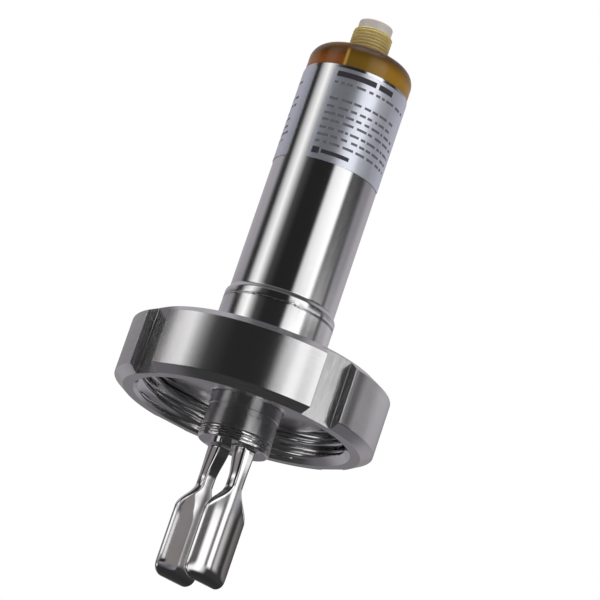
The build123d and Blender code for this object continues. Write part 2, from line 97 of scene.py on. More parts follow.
# The studio is a white room with bright panels and dark screens standing round the switch.
# Polished steel shows little but what it mirrors, so the panels are bands of the room's light.
# A ring gives light levels by compass degrees: 0 lies behind the camera, positive to its right.
BACKDROP_LIGHT = 1.0
BRIGHTEST = 1.5
LILAC = (1.0, 0.965, 1.04)
WARM = (1.02, 0.945, 0.93)
TINTED_ABOVE = 0.1
TINTED_BELOW = 0.5
DOWN_RING = ((-180, 0.04), (180, 0.04))
FLOOR_RING = (
    (-180, 0.14), (-122, 0.14), (-108, 0.05), (-56, 0.05), (45, 0.04), (112, 0.04), (124, 0.14), (180, 0.14),
)
FOOT_RING = (
    (-180, 0.16), (-172, 0.32), (-160, 0.36), (-124, 0.26), (-115, 0.03), (-92, 0.03), (-88, 1.10),
    (-69, 1.10), (-60, 0.015), (12, 0.015), (17, 1.50), (42, 1.50), (50, 0.03), (110, 0.03),
    (122, 0.30), (160, 0.34), (172, 0.32), (180, 0.16),
)
CORNER_RING = (
    (-180, 0.30), (-124, 0.30), (-112, 0.06), (-101, 0.05), (-97, 0.25), (-67, 0.25), (-60, 0.02),
    (18, 0.02), (24, 1.30), (34, 1.30), (37, 0.60), (44, 1.00), (56, 1.35), (62, 0.60),
    (67, 0.04), (112, 0.04), (128, 0.16), (180, 0.30),
)


def level_ring(left_panel):
    """Narrow panels about the horizon for the fork's blades, with the left panel at a given level."""
    return (
        (-180, 0.30), (-124, 0.30), (-112, 0.06), (-101, 0.05), (-97, left_panel), (-67, left_panel),
        (-60, 0.02), (22, 0.02), (26, 1.20), (34, 1.20), (37, 0.11), (45, 0.12), (49, 1.35),
        (58, 1.35), (61, 0.14), (64, 0.18), (66, 1.40), (71, 1.40), (73, 0.16), (75, 0.16),
        (77.5, 0.60), (82, 0.52), (86, 0.18), (90, 0.04), (95, 0.04), (99, 0.22), (112, 0.05),
        (128, 0.16), (180, 0.30),
    )


SHANK_RING = (
    (-180, 0.30), (-124, 0.14), (-112, 0.03), (-88, 0.03), (-82, 0.30), (-66, 0.30), (-54, 0.02),
    (9, 0.02), (14, 1.10), (33, 1.50), (38, 0.05), (50, 0.03), (64, 0.04), (67, 1.40),
    (72, 1.40), (74, 0.10), (76, 0.10), (78, 0.26), (88, 0.16), (96, 0.03), (118, 0.03),
    (132, 0.14), (180, 0.30),
)
NUT_RING = (
    (-180, 0.10), (-164, 0.25), (-124, 0.03), (-95, 0.02), (-90, 0.20), (-85, 1.20), (-80, 1.50),
    (-68, 1.50), (-54, 0.06), (-30, 0.02), (18, 0.02), (34, 0.30), (43, 1.10), (52, 1.50),
    (86, 1.50), (90, 0.08), (95, 0.08), (101, 0.85), (130, 0.85), (160, 0.40), (180, 0.10),
)
TUBE_RING = (
    (-180, 0.45), (-117, 0.42), (-105, 0.05), (-95, 0.02), (-84, 0.65), (-70, 1.20), (-60, 0.65),
    (-48, 0.08), (-30, 0.02), (10, 0.02), (17, 1.10), (50, 1.50), (57, 0.05), (86, 0.02),
    (100, 0.27), (115, 0.27), (135, 0.45), (180, 0.45),
)
SKY_RING = (
    (-180, 0.42), (-122, 0.42), (-100, 0.26), (-60, 0.16), (60, 0.16), (100, 0.26), (122, 0.42), (180, 0.42),
)
TOP_RING = ((-180, 0.08), (180, 0.08))
# Each step names the heights, as sines of elevation, over which the light goes over to its ring.
RING_STEPS = (
    ((-0.88, -0.80), FLOOR_RING, LILAC),
    ((-0.60, -0.35), FOOT_RING, LILAC),
    ((-0.20, -0.06), CORNER_RING, WARM),
    ((0.02, 0.14), level_ring(0.25), WARM),
    ((0.175, 0.198), level_ring(1.30), WARM),
    ((0.207, 0.221), SHANK_RING, LILAC),
    ((0.229, 0.237), NUT_RING, LILAC),
    ((0.249, 0.272), TUBE_RING, LILAC),
    ((0.58, 0.70), SKY_RING, LILAC),
    ((0.84, 0.94), TOP_RING, LILAC),
)
# A Mix node's colour sockets go by number, because its other sockets have the same names.
MIX_COLOURS = (6, 7)
MIX_RESULT = 2
FLOOR_DROP = 0.65
FLOOR_RADIUS = 3.0
FLOOR_SIDES = 64
FLOOR_LOOKS = {
    "Base Color": (0.9, 0.9, 0.9, 1),
    "Roughness": 0.8,
    "Emission Color": (1, 1, 1, 1),
    "Emission Strength": 0.35,
}
SOFTBOX_SIZE = 0.9
SOFTBOX_WATTS = 22
SOFTBOX_PLACE = (-0.06, -0.08, 1.35)


def ring_colours(tree, share, ring, tint):
    """Colours of one ring of panels, read by compass share from 0 to 1; grey panels take the tint."""
    ramp = tree.nodes.new("ShaderNodeValToRGB")
    ramp.color_ramp.interpolation = "LINEAR"
    stops = ramp.color_ramp.elements
    ready = len(stops)
    for number, (degrees, light) in enumerate(ring):
        position = (degrees + 180) / 360
        stop = stops[number] if number < ready else stops.new(position)
        stop.position = position
        level = light / BRIGHTEST
        red, green, blue = tint if TINTED_ABOVE < light < TINTED_BELOW else (1, 1, 1)
        stop.color = (level * red, level * green, level * blue, 1)
    tree.links.new(share, ramp.inputs["Fac"])
    return ramp.outputs["Color"]


def ranged(tree, value, limits=(0, 1), results=(0, 1), smooth=False):
    """Maps a value's limits to results, straight or with level ends."""
    step = tree.nodes.new("ShaderNodeMapRange")
    step.interpolation_type = "SMOOTHSTEP" if smooth else "LINEAR"
    for socket, number in zip(("From Min", "From Max", "To Min", "To Max"), (*limits, *results)):
        step.inputs[socket].default_value = number
    tree.links.new(value, step.inputs["Value"])
    return step.outputs["Result"]


def blend(tree, factor, low, high):
    """Mixes two colours, or colour sockets, by a factor socket."""
    mix = tree.nodes.new("ShaderNodeMix")
    mix.data_type = "RGBA"
    tree.links.new(factor, mix.inputs["Factor"])
    for number, colour in zip(MIX_COLOURS, (low, high)):
        if isinstance(colour, tuple):
            mix.inputs[number].default_value = (*colour, 1)
        else:
            tree.links.new(colour, mix.inputs[number])
    return mix.outputs[MIX_RESULT]


def compass_and_height(tree):
    """The direction that light comes from: its compass share from the camera, 0 to 1, and its height."""
    nodes = tree.nodes
    links = tree.links
    place = nodes.new("ShaderNodeTexCoord")
    turn = nodes.new("ShaderNodeMapping")
    turn.inputs["Rotation"].default_value = (0, 0, -VIEW_AZIMUTH)
    split = nodes.new("ShaderNodeSeparateXYZ")
    toward = nodes.new("ShaderNodeMath")
    toward.operation = "MULTIPLY"
    toward.inputs[1].default_value = -1
    angle = nodes.new("ShaderNodeMath")
    angle.operation = "ARCTAN2"
    links.new(place.outputs["Generated"], turn.inputs["Vector"])
    links.new(turn.outputs["Vector"], split.inputs["Vector"])
    links.new(split.outputs["Y"], toward.inputs[0])
    links.new(split.outputs["X"], angle.inputs[0])
    links.new(toward.outputs["Value"], angle.inputs[1])
    return ranged(tree, angle.outputs["Value"], (-math.pi, math.pi)), split.outputs["Z"]


def build_world():
    """The panels light the switch, which mirrors them; the camera itself sees a plain white room."""
    world = bpy.data.worlds.new("studio_light")
    bpy.context.scene.world = world
    bpy.context.scene.view_settings.view_transform = "Standard"
    world.use_nodes = True
    tree = world.node_tree
    nodes = tree.nodes
    links = tree.links
    nodes.clear()
    compass, height = compass_and_height(tree)
    colour = ring_colours(tree, compass, DOWN_RING, LILAC)
    for limits, ring, tint in RING_STEPS:
        step = ranged(tree, height, limits, smooth=True)
        colour = blend(tree, step, colour, ring_colours(tree, compass, ring, tint))
    glow = nodes.new("ShaderNodeBackground")
    glow.inputs["Strength"].default_value = BRIGHTEST
    white = nodes.new("ShaderNodeBackground")
    white.inputs["Color"].default_value = (1, 1, 1, 1)
    white.inputs["Strength"].default_value = BACKDROP_LIGHT
    seen = nodes.new("ShaderNodeLightPath")
    mix = nodes.new("ShaderNodeMixShader")
    output = nodes.new("ShaderNodeOutputWorld")
    links.new(colour, glow.inputs["Color"])
    links.new(seen.outputs["Is Camera Ray"], mix.inputs["Fac"])
    links.new(glow.outputs["Background"], mix.inputs[1])
    links.new(white.outputs["Background"], mix.inputs[2])
    links.new(mix.outputs["Shader"], output.inputs["Surface"])


def new_finish(name, looks):
    """A material; what is the same all over it is set on the shader's own sockets."""
    material = bpy.data.materials.new(name)
    material.use_nodes = True
    tree = material.node_tree
    shader = tree.nodes["Principled BSDF"]
    for socket, value in looks.items():
        shader.inputs[socket].default_value = value
    return material, tree, shader


def build_floor():
    """A round pale floor that glows a little, so that it stays pale from every side."""
    shape = bmesh.new()
    bmesh.ops.create_circle(shape, cap_ends=True, segments=FLOOR_SIDES, radius=FLOOR_RADIUS)
    bmesh.ops.translate(shape, verts=shape.verts, vec=(0, 0, -FLOOR_DROP))
    mesh = bpy.data.meshes.new("floor")
    shape.to_mesh(mesh)
    shape.free()
    floor = add_object("floor", mesh)
    mesh.materials.append(new_finish("pale_floor", FLOOR_LOOKS)[0])
    floor.visible_glossy = False


def place_softbox():
    """A wide lamp overhead lights plastic, foil and floor; the steel mirrors the panels alone."""
    light = bpy.data.lights.new("softbox", "AREA")
    light.shape = "SQUARE"
    light.size = SOFTBOX_SIZE
    light.energy = SOFTBOX_WATTS
    softbox = add_object("softbox", light)
    softbox.location = SOFTBOX_PLACE
    softbox.rotation_euler = Vector(SOFTBOX_PLACE).to_track_quat("Z", "Y").to_euler()
    softbox.visible_camera = False
    softbox.visible_glossy = False


build_world()
build_floor()
place_softbox()


# The fork is one polished steel casting: a cup with a thin diaphragm and two mirrored tines.
# Each tine has a thick root, a shank and a crowned blade with narrow rims, round lower corners
# and a nose that thins towards its tip. The cup's wall is rippled where it is welded to the neck.
FORK_FACE = -14.4
FORK_TIP = -55.5
CUP_TOP = -10.6
CUP_R = 10.5
CUP_BORE_R = 8.5
CUP_FLOOR = -13.2
CUP_EDGE = 0.45
CUP_CHAMFER = 0.12
WELD_TOP = -10.9
WELD_END = -13.9
WELD_ROWS = 40
WELD_TURNS = 4
WELD_RISE = 0.13
RIPPLE_ROUND = 900
RIPPLE_UP = 2500
RIPPLE_MIDDLE = 0.8
RIPPLE_SPREAD = 1.2
RIM_BULGE = 0.2
# A form is a tine's half width, half rim, outer and inner crown, and distance from the axis.
ROOT_FORM = (2.5, 1.5, 3.1, 2.4, 5.6)
SHANK_FORM = (2.0, 1.3, 2.05, 1.65, 6.7)
BLADE_FORM = (7.1, 0.9, 2.1, 1.25, 6.7)
TINE_SINK = 0.4
ROOT_END = -24.4
ROOT_FILLET = 1.0
FILLET_ON_RIM = 0.6
SHOULDER_TOP = -26.3
SHOULDER_END = -35.0
CORNER_R = 3.2
NOSE_L = 6.0
OUTER_CROWN_R = 21.0
INNER_CROWN_R = 72.0
FACE_EDGE = 0.8
RIM_STEPS = 8
FACE_STEPS = 28
FILLET_STEPS = 6
SHOULDER_STEPS = 24
NOSE_STEPS = 18
TINE_HEIGHTS = (
    [CUP_FLOOR - TINE_SINK, FORK_FACE]
    + [FORK_FACE - ROOT_FILLET * step / FILLET_STEPS for step in range(1, FILLET_STEPS + 1)]
    + [-16.0, -16.6, -17.2, -17.8, -18.4, -19.0, -19.7, -20.4, -21.2, -22.0, -22.8, -23.6]
    + [ROOT_END, SHOULDER_TOP]
    + [
        SHOULDER_TOP + (SHOULDER_END - SHOULDER_TOP) * step / SHOULDER_STEPS
        for step in range(1, SHOULDER_STEPS + 1)
    ]
    + [-37.5, -40.0, -43.0, -46.0, -48.0]
    + [FORK_TIP + NOSE_L * (1 - math.sin(math.pi / 2 * step / NOSE_STEPS)) for step in range(NOSE_STEPS + 1)]
)
LATHE_STEPS = 192
SAME_POINT = 0.0002 * MM
NEAR = 0.01


def ease(start, end, share):
    """Goes from start to end with level ends as share goes from 0 to 1."""
    share = min(max(share, 0), 1)
    return start + (end - start) * share * share * (3 - 2 * share)


def arc_rise(across, half_chord, rise):
    """Height over its chord of an arc with the given rise, at a distance from the middle."""
    radius = (half_chord * half_chord + rise * rise) / (2 * rise)
    return math.sqrt(max(radius * radius - across * across, 0)) - (radius - rise)


def face_height(across, half_w, rise, crown_r):
    """Height over its rims of a face with one crown from root to tip and edges rounded to the rims."""
    crown = across * across / (2 * crown_r)
    edge_drop = max(rise - half_w * half_w / (2 * crown_r), 0)
    edge_share = max(abs(across) - half_w + FACE_EDGE, 0) / FACE_EDGE
    edge = edge_drop * (1 - math.sqrt(max(1 - edge_share * edge_share, 0)))
    return max(rise - crown - edge, 0)


def tine_outline(z):
    """The closed outline of the near tine at one height, as (x, y) points in millimetres."""
    root_share = (FORK_FACE - z) / (FORK_FACE - ROOT_END)
    blade_share = (SHOULDER_TOP - z) / (SHOULDER_TOP - SHOULDER_END)
    form = [ease(*pair, root_share) for pair in zip(ROOT_FORM, SHANK_FORM)]
    form = [ease(*pair, blade_share) for pair in zip(form, BLADE_FORM)]
    half_w, half_rim, crown_out, crown_in, offset = form
    from_face = min(max((FORK_FACE - z) / ROOT_FILLET, 0), 1)
    flare = ROOT_FILLET * (1 - math.sqrt(1 - (1 - from_face) ** 2))
    half_w += flare
    crown_out += flare
    crown_in += flare
    half_rim += flare * FILLET_ON_RIM
    points = []
    for step in range(RIM_STEPS):
        y = half_rim * (1 - 2 * step / RIM_STEPS)
        points.append((-half_w - arc_rise(y, half_rim, RIM_BULGE), y))
    for step in range(FACE_STEPS):
        x = -half_w * math.cos(math.pi * step / FACE_STEPS)
        points.append((x, -half_rim - face_height(x, half_w, crown_out - half_rim, OUTER_CROWN_R)))
    for step in range(RIM_STEPS):
        y = -half_rim * (1 - 2 * step / RIM_STEPS)
        points.append((half_w + arc_rise(y, half_rim, RIM_BULGE), y))
    for step in range(FACE_STEPS):
        x = half_w * math.cos(math.pi * step / FACE_STEPS)
        points.append((x, half_rim + face_height(x, half_w, crown_in - half_rim, INNER_CROWN_R)))
    from_tip = z - FORK_TIP
    narrow = 1
    if from_tip < CORNER_R:
        narrow -= (CORNER_R - math.sqrt(CORNER_R ** 2 - (CORNER_R - from_tip) ** 2)) / half_w
    thin = 1
    if from_tip < NOSE_L:
        thin = math.sqrt(1 - (1 - from_tip / NOSE_L) ** 2)
    middle = (crown_in - crown_out) / 2
    return [(x * narrow, middle + (y - middle) * thin - offset) for x, y in points]


def next_ring(shape, ring):
    """Extrudes a ring of vertices and gives the new ones in the same order."""
    count = len(ring)
    edges = [shape.edges.get((ring[number], ring[(number + 1) % count])) for number in range(count)]
    made = set(bmesh.ops.extrude_edge_only(shape, edges=edges)["geom"])
    return [next(e.other_vert(v) for e in v.link_edges if e.other_vert(v) in made) for v in ring]


def build_tine(shape, side):
    """Extrudes one tine from root to tip; side is 1 for the near one and -1 for its twin."""
    count = 2 * (RIM_STEPS + FACE_STEPS)
    ring = bmesh.ops.create_circle(shape, cap_ends=True, segments=count, radius=MM)["verts"]
    ring.sort(key=lambda vert: math.atan2(vert.co.y, vert.co.x))
    for number, z in enumerate(TINE_HEIGHTS):
        if number:
            ring = next_ring(shape, ring)
        for vert, (x, y) in zip(ring, tine_outline(z)):
            vert.co = (side * x * MM, side * y * MM, z * MM)


def is_vert(part):
    return isinstance(part, bmesh.types.BMVert)


def rounded(shape, parts, size, segments, affect, clamp=False):
    """Rounds points or edges off; affect is VERTICES or EDGES."""
    return bmesh.ops.bevel(
        shape,
        geom=parts,
        offset=size,
        offset_type="OFFSET",
        segments=segments,
        profile=0.5,
        affect=affect,
        clamp_overlap=clamp,
        material=-1,
    )


def spin_outline(shape, outline, corners=(), steps=LATHE_STEPS):
    """Turns (radius, height) points in millimetres about Z; corners gives (number, size) to round."""
    points = [shape.verts.new((radius * MM, 0, height * MM)) for radius, height in outline]
    on_axis = outline[0][0] == 0 and outline[-1][0] == 0
    pairs = list(zip(points, points[1:] + points[:1]))
    edges = [shape.edges.new(pair) for pair in (pairs[:-1] if on_axis else pairs)]
    chain = points + edges
    for number, size in corners:
        made = rounded(shape, [points[number]], size * MM, 3, "VERTICES")
        chain += made["verts"] + made["edges"]
    corner_points = list(dict.fromkeys(part for part in chain if part.is_valid and is_vert(part)))
    sides = list(dict.fromkeys(edge for point in corner_points for edge in point.link_edges))
    bmesh.ops.spin(
        shape,
        geom=corner_points + sides,
        cent=(0, 0, 0),
        axis=(0, 0, 1),
        angle=math.tau,
        steps=steps,
        use_merge=True,
    )


def add_piece(name, shape, body, material, sharp_degrees=32, others=()):
    """Closes the mesh, smooths it with broad faces leading, and sets it on a body of the frame."""
    bmesh.ops.remove_doubles(shape, verts=shape.verts, dist=SAME_POINT)
    bmesh.ops.recalc_face_normals(shape, faces=shape.faces)
    mesh = bpy.data.meshes.new(name)
    shape.to_mesh(mesh)
    shape.free()
    mesh.shade_smooth()
    mesh.set_sharp_from_angle(angle=math.radians(sharp_degrees))
    for finish in (material, *others):
        mesh.materials.append(finish)
    piece = add_object(name, mesh)
    even_shading = piece.modifiers.new("even_shading", "WEIGHTED_NORMAL")
    even_shading.keep_sharp = True
    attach(piece, body)
    return piece


def own_noise(tree, scale, detail, stretch=None):
    """Noise on the piece's own coordinates, drawn out into lines where stretch is given."""
    place = tree.nodes.new("ShaderNodeTexCoord").outputs["Object"]
    if stretch:
        drawn = tree.nodes.new("ShaderNodeMapping")
        drawn.inputs["Scale"].default_value = stretch
        tree.links.new(place, drawn.inputs["Vector"])
        place = drawn.outputs["Vector"]
    clouds = tree.nodes.new("ShaderNodeTexNoise")
    clouds.inputs["Scale"].default_value = scale
    clouds.inputs["Detail"].default_value = detail
    tree.links.new(place, clouds.inputs["Vector"])
    return clouds.outputs["Fac"]


def add_grain(tree, shader, height, strength, depth):
    """Fine relief in the shading; depth is in metres."""
    bump = tree.nodes.new("ShaderNodeBump")
    bump.inputs["Strength"].default_value = strength
    bump.inputs["Distance"].default_value = depth
    tree.links.new(height, bump.inputs["Height"])
    tree.links.new(bump.outputs["Normal"], shader.inputs["Normal"])


LINE_RELIEF = 0.00002
LINE_DETAIL = 4
CLOUD_SCALE = 90
CLOUD_DETAIL = 3
CLOUD_SHARE = 0.5
CLOUD_LIMITS = (0.4, 1.1)
SMOOTHEST = 0.8
ROUGHEST = 1.2
QUARTER_TURN = 0.25
DARK_LINE = (1, 0.99, 0.99)
LIGHT_LINE = (1.03, 1.02, 1.04)


def bare_metal(name, colours, roughness, lines, depth, turned=0.0):
    """Bare metal with fine lines; turned is how far a lathe tool's rings spread its highlights."""
    material, tree, shader = new_finish(name, {"Metallic": 1})
    if turned:
        rings = tree.nodes.new("ShaderNodeTangent")
        rings.direction_type = "RADIAL"
        rings.axis = "Z"
        tree.links.new(rings.outputs["Tangent"], shader.inputs["Tangent"])
        shader.inputs["Anisotropic"].default_value = turned
        shader.inputs["Anisotropic Rotation"].default_value = QUARTER_TURN
    streaks = own_noise(tree, 1, LINE_DETAIL, lines)
    wear = tree.nodes.new("ShaderNodeMath")
    wear.operation = "MULTIPLY_ADD"
    wear.inputs[1].default_value = CLOUD_SHARE
    tree.links.new(own_noise(tree, CLOUD_SCALE, CLOUD_DETAIL), wear.inputs[0])
    tree.links.new(streaks, wear.inputs[2])
    shade = ranged(tree, wear.outputs["Value"], CLOUD_LIMITS, (roughness * SMOOTHEST, roughness * ROUGHEST))
    tree.links.new(shade, shader.inputs["Roughness"])
    tree.links.new(blend(tree, streaks, *colours), shader.inputs["Base Color"])
    add_grain(tree, shader, streaks, depth, LINE_RELIEF)
    return material


def steel(name, tone, roughness, lines, depth, turned=0.0, contrast=0.06):
    """Bare stainless steel of a grey tone, whose fine lines differ by a share of it."""
    dark = tuple(tone * (1 - contrast) * part for part in DARK_LINE)
    light = tuple(tone * part for part in LIGHT_LINE)
    return bare_metal(name, (dark, light), roughness, lines, depth, turned)


def build_fork():
    shape = bmesh.new()
    wall = []
    for row in range(WELD_ROWS + 1):
        share = row / WELD_ROWS
        z = WELD_END + (WELD_TOP - WELD_END) * share
        wall.append((CUP_R + WELD_RISE * math.sin(math.pi * WELD_TURNS * share) ** 2, z))
    outline = [
        (0, FORK_FACE),
        (CUP_R, FORK_FACE),
        *wall,
        (CUP_R, CUP_TOP - CUP_CHAMFER),
        (CUP_R - CUP_CHAMFER, CUP_TOP),
        (CUP_BORE_R, CUP_TOP),
        (CUP_BORE_R, CUP_FLOOR),
        (0, CUP_FLOOR),
    ]
    spin_outline(shape, outline, corners=[(1, CUP_EDGE)])
    for vert in shape.verts:
        x, y, z = vert.co
        radius = math.hypot(x, y) / MM
        if radius > CUP_R + NEAR:
            ripple = noise.noise(Vector((x * RIPPLE_ROUND, y * RIPPLE_ROUND, z * RIPPLE_UP)))
            stretch = (CUP_R + (radius - CUP_R) * (RIPPLE_MIDDLE + RIPPLE_SPREAD * ripple)) / radius
            vert.co = (x * stretch, y * stretch, z)
    for side in (1, -1):
        build_tine(shape, side)
    fork_steel = steel("polished_fork_steel", tone=0.84, roughness=0.07, lines=(250, 250, 250), depth=0.04)
    piece = add_piece("vibrating_fork", shape, "sensor", fork_steel, sharp_degrees=40)
    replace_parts(piece, "fork")


build_fork()


# The adapter is turned from one stainless bar: the neck with a shallow tool groove, the conical
# sealing flange, the hub under the nut and the collar that the tube is welded to.
# Its bore carries the drive stack, and its upper chamber the electronics' base.
NECK_R = CUP_R
NECK_CHAMFER = 0.1
GROOVE_DEPTH = 0.2
NECK_GROOVE = (-6.2, -4.2)
SEAT_R = 22.5
FLANGE_R = 28.0
CONE_TOP = 4.2
FLANGE_TOP = 8.5
HUB_R = 23.5
HUB_TOP = 12.7
SHOULDER_CHAMFER = 0.6
COLLAR_R = 16.65
COLLAR_TOP = 26.8
COLLAR_CHAMFER = (0.15, 0.1)
SPIGOT_R = 14.6
SPIGOT_TOP = 29.8
CHAMBER_R = 13.4
CHAMBER_FLOOR = 14.0
ADAPTER_OUTLINE = (
    (CUP_BORE_R, CUP_TOP),
    (NECK_R - CUP_CHAMFER, CUP_TOP),
    (NECK_R, CUP_TOP + NECK_CHAMFER),
    (NECK_R, NECK_GROOVE[0]),
    (NECK_R - GROOVE_DEPTH, NECK_GROOVE[0] + GROOVE_DEPTH),
    (NECK_R - GROOVE_DEPTH, NECK_GROOVE[1] - GROOVE_DEPTH),
    (NECK_R, NECK_GROOVE[1]),
    (NECK_R, 0),
    (SEAT_R, 0),
    (FLANGE_R, CONE_TOP),
    (FLANGE_R, FLANGE_TOP - SHOULDER_CHAMFER),
    (FLANGE_R - SHOULDER_CHAMFER, FLANGE_TOP),
    (HUB_R, FLANGE_TOP),
    (HUB_R, HUB_TOP - SHOULDER_CHAMFER),
    (HUB_R - SHOULDER_CHAMFER, HUB_TOP),
    (COLLAR_R, HUB_TOP),
    (COLLAR_R, COLLAR_TOP - COLLAR_CHAMFER[1]),
    (COLLAR_R - COLLAR_CHAMFER[0], COLLAR_TOP),
    (SPIGOT_R, COLLAR_TOP),
    (SPIGOT_R, SPIGOT_TOP),
    (CHAMBER_R, SPIGOT_TOP),
    (CHAMBER_R, CHAMBER_FLOOR),
    (CUP_BORE_R, CHAMBER_FLOOR),
)
# Each rounding is the number of its outline point and its size.
NECK_ROOT = (7, 0.8)
COLLAR_ROOT = (15, 2.5)
SMALL_EDGES = ((8, 0.25), (9, 0.4), (11, 0.15), (13, 0.15))
TURNED_SHARP = 28
NECK_WALL_TOP = -0.6
NECK_WALL_RADII = (9, 11.4)


def mark_neck(shape):
    """Gives the neck's wall its own finish, with coarser tool rings than the hub and the collar."""
    for face in shape.faces:
        place = face.calc_center_median() / MM
        if place.z < NECK_WALL_TOP and NECK_WALL_RADII[0] < math.hypot(place.x, place.y) < NECK_WALL_RADII[1]:
            face.material_index = 1


def build_adapter():
    shape = bmesh.new()
    spin_outline(shape, ADAPTER_OUTLINE, (NECK_ROOT, COLLAR_ROOT, *SMALL_EDGES))
    mark_neck(shape)
    turned_steel = steel(
        "turned_adapter_steel", tone=0.86, roughness=0.13, lines=(150, 150, 9000), depth=0.1, turned=0.4
    )
    neck_steel = steel(
        "turned_neck_steel", tone=0.86, roughness=0.34, lines=(150, 150, 5000), depth=0.1, turned=0.94
    )
    piece = add_piece("adapter", shape, "sensor", turned_steel, TURNED_SHARP, (neck_steel,))
    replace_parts(piece, "union_liner")


build_adapter()


# The union nut is turned from stainless bar and its four spanner slots are milled.
# It hangs loose on the adapter's flange by a plain seat, and below the seat it has a round thread
# of six turns per inch.
NUT_OUTER_R = 39.0
NUT_BOTTOM = -6.5
NUT_TOP = 14.5
NUT_SEAT = 8.8
NUT_HOLE_R = 24.0
NUT_HOLE_CHAMFER = 0.6
NUT_BORE_R = 30.6
THREAD_DEPTH = 2.1
THREAD_PITCH = 25.4 / 6
THREAD_ROWS = 64
THREAD_START = 0.05
LEAD_IN = 1.6
RUN_OUT = 1.2
RUN_OUT_GAP = 0.4
NUT_FOOT_R = 35.9
NUT_FOOT_CHAMFER = 2.0
NUT_CROWN_R = 34.5
NUT_CROWN_CHAMFER = 2.7
SLOT_COUNT = 4
SLOT_FLOOR = 35.2
SLOT_WIDTH = 10.8
SLOT_TURN = math.radians(-3.2)
CUTTER_DEPTH = 20
CUTTER_REACH = 1
NUT_EDGE = 0.14
NUT_EDGE_POINTS = (1, 2, 3, 4, 7)
NUT_STEPS = 256
ON_FACE = 0.02
FACING = 0.9
THREAD_ZONE = (0.3, 0.1)
WALL_BEYOND_THREAD = 1.5
BURR_DEGREES = 35


def bore_radius(height, angle):
    """Radius of the nut's round thread at a height and an angle, in millimetres."""
    phase = (height - NUT_BOTTOM) / THREAD_PITCH - angle / math.tau
    wave = 0.5 + 0.5 * math.cos(math.tau * phase)
    fade_in = ease(0, 1, (height - NUT_BOTTOM) / LEAD_IN)
    fade_out = ease(0, 1, (NUT_SEAT - RUN_OUT_GAP - height) / RUN_OUT)
    mouth = NUT_BORE_R + THREAD_DEPTH - (height - NUT_BOTTOM)
    radius = NUT_BORE_R + THREAD_DEPTH * (wave * fade_in * fade_out + (1 - fade_out))
    return max(radius, mouth)


def move_wall(shape, wall_r, lowest, radius_at):
    """Moves the points of a turned wall to the radius that their height and angle give."""
    bmesh.ops.remove_doubles(shape, verts=shape.verts, dist=SAME_POINT)
    for vert in shape.verts:
        x, y, z = vert.co
        radius = math.hypot(x, y)
        if abs(radius / MM - wall_r) < NEAR and z / MM > lowest:
            share = radius_at(z / MM, math.atan2(y, x)) * MM / radius
            vert.co = (x * share, y * share, z)


def slot_cutter(low, high):
    """Four upright blocks that stand where the slots are milled."""
    shape = bmesh.new()
    for number in range(SLOT_COUNT):
        made = bmesh.ops.create_cube(shape, size=1)["verts"]
        size = (CUTTER_DEPTH * MM, SLOT_WIDTH * MM, (high - low) * MM)
        bmesh.ops.scale(shape, verts=made, vec=size)
        spot = ((SLOT_FLOOR + CUTTER_DEPTH / 2) * MM, 0, (high + low) / 2 * MM)
        bmesh.ops.translate(shape, verts=made, vec=spot)
        quarter = Matrix.Rotation(math.tau * number / SLOT_COUNT, 3, "Z")
        bmesh.ops.rotate(shape, verts=made, cent=(0, 0, 0), matrix=quarter)
    return shape


def cut_slots(shape):
    """Takes the four slots out of the nut with an exact boolean."""
    solid = add_object("slotted", bpy.data.meshes.new("slotted"))
    cutter = add_object("slot_cutter", bpy.data.meshes.new("slot_cutter"))
    blocks = slot_cutter(NUT_BOTTOM - CUTTER_REACH, NUT_TOP + CUTTER_REACH)
    for form, thing in ((shape, solid), (blocks, cutter)):
        form.to_mesh(thing.data)
        form.free()
    cut = solid.modifiers.new("slots", "BOOLEAN")
    cut.operation = "DIFFERENCE"
    cut.solver = "EXACT"
    cut.object = cutter
    bpy.context.view_layer.update()
    finished = solid.evaluated_get(bpy.context.evaluated_depsgraph_get())
    result = bmesh.new()
    result.from_mesh(finished.to_mesh())
    finished.to_mesh_clear()
    for thing in (solid, cutter):
        mesh = thing.data
        bpy.data.objects.remove(thing)
        bpy.data.meshes.remove(mesh)
    return result


def is_burr(edge):
    """A sharp edge that lies outside the thread."""
    wall = (NUT_BORE_R + THREAD_DEPTH + WALL_BEYOND_THREAD) * MM
    if not edge.is_manifold or edge.calc_face_angle() <= math.radians(BURR_DEGREES):
        return False
    return min(vert.co.xy.length for vert in edge.verts) > wall


def deburr(shape):
    """Breaks the nut's sharp edges."""
    rounded(shape, [edge for edge in shape.edges if is_burr(edge)], NUT_EDGE * MM, 2, "EDGES", clamp=True)


def mark_slots(shape):
    """Gives the milled slots' floors and walls the nut's second material."""
    for number in range(SLOT_COUNT):
        turn = Matrix.Rotation(-math.tau * number / SLOT_COUNT, 3, "Z")
        for face in shape.faces:
            spot = turn @ face.calc_center_median() / MM
            facing = turn @ face.normal
            floor = abs(spot.x - SLOT_FLOOR) < ON_FACE and facing.x > FACING
            side = abs(abs(spot.y) - SLOT_WIDTH / 2) < ON_FACE and abs(facing.y) > FACING
            if floor or (side and spot.x > NUT_BORE_R):
                face.material_index = 1


def mark_thread(shape):
    """Gives the thread's turns the nut's third material."""
    for face in shape.faces:
        spot = face.calc_center_median() / MM
        if spot.xy.length < NUT_BORE_R + THREAD_DEPTH + THREAD_ZONE[0] and spot.z < NUT_SEAT - THREAD_ZONE[1]:
            face.material_index = 2


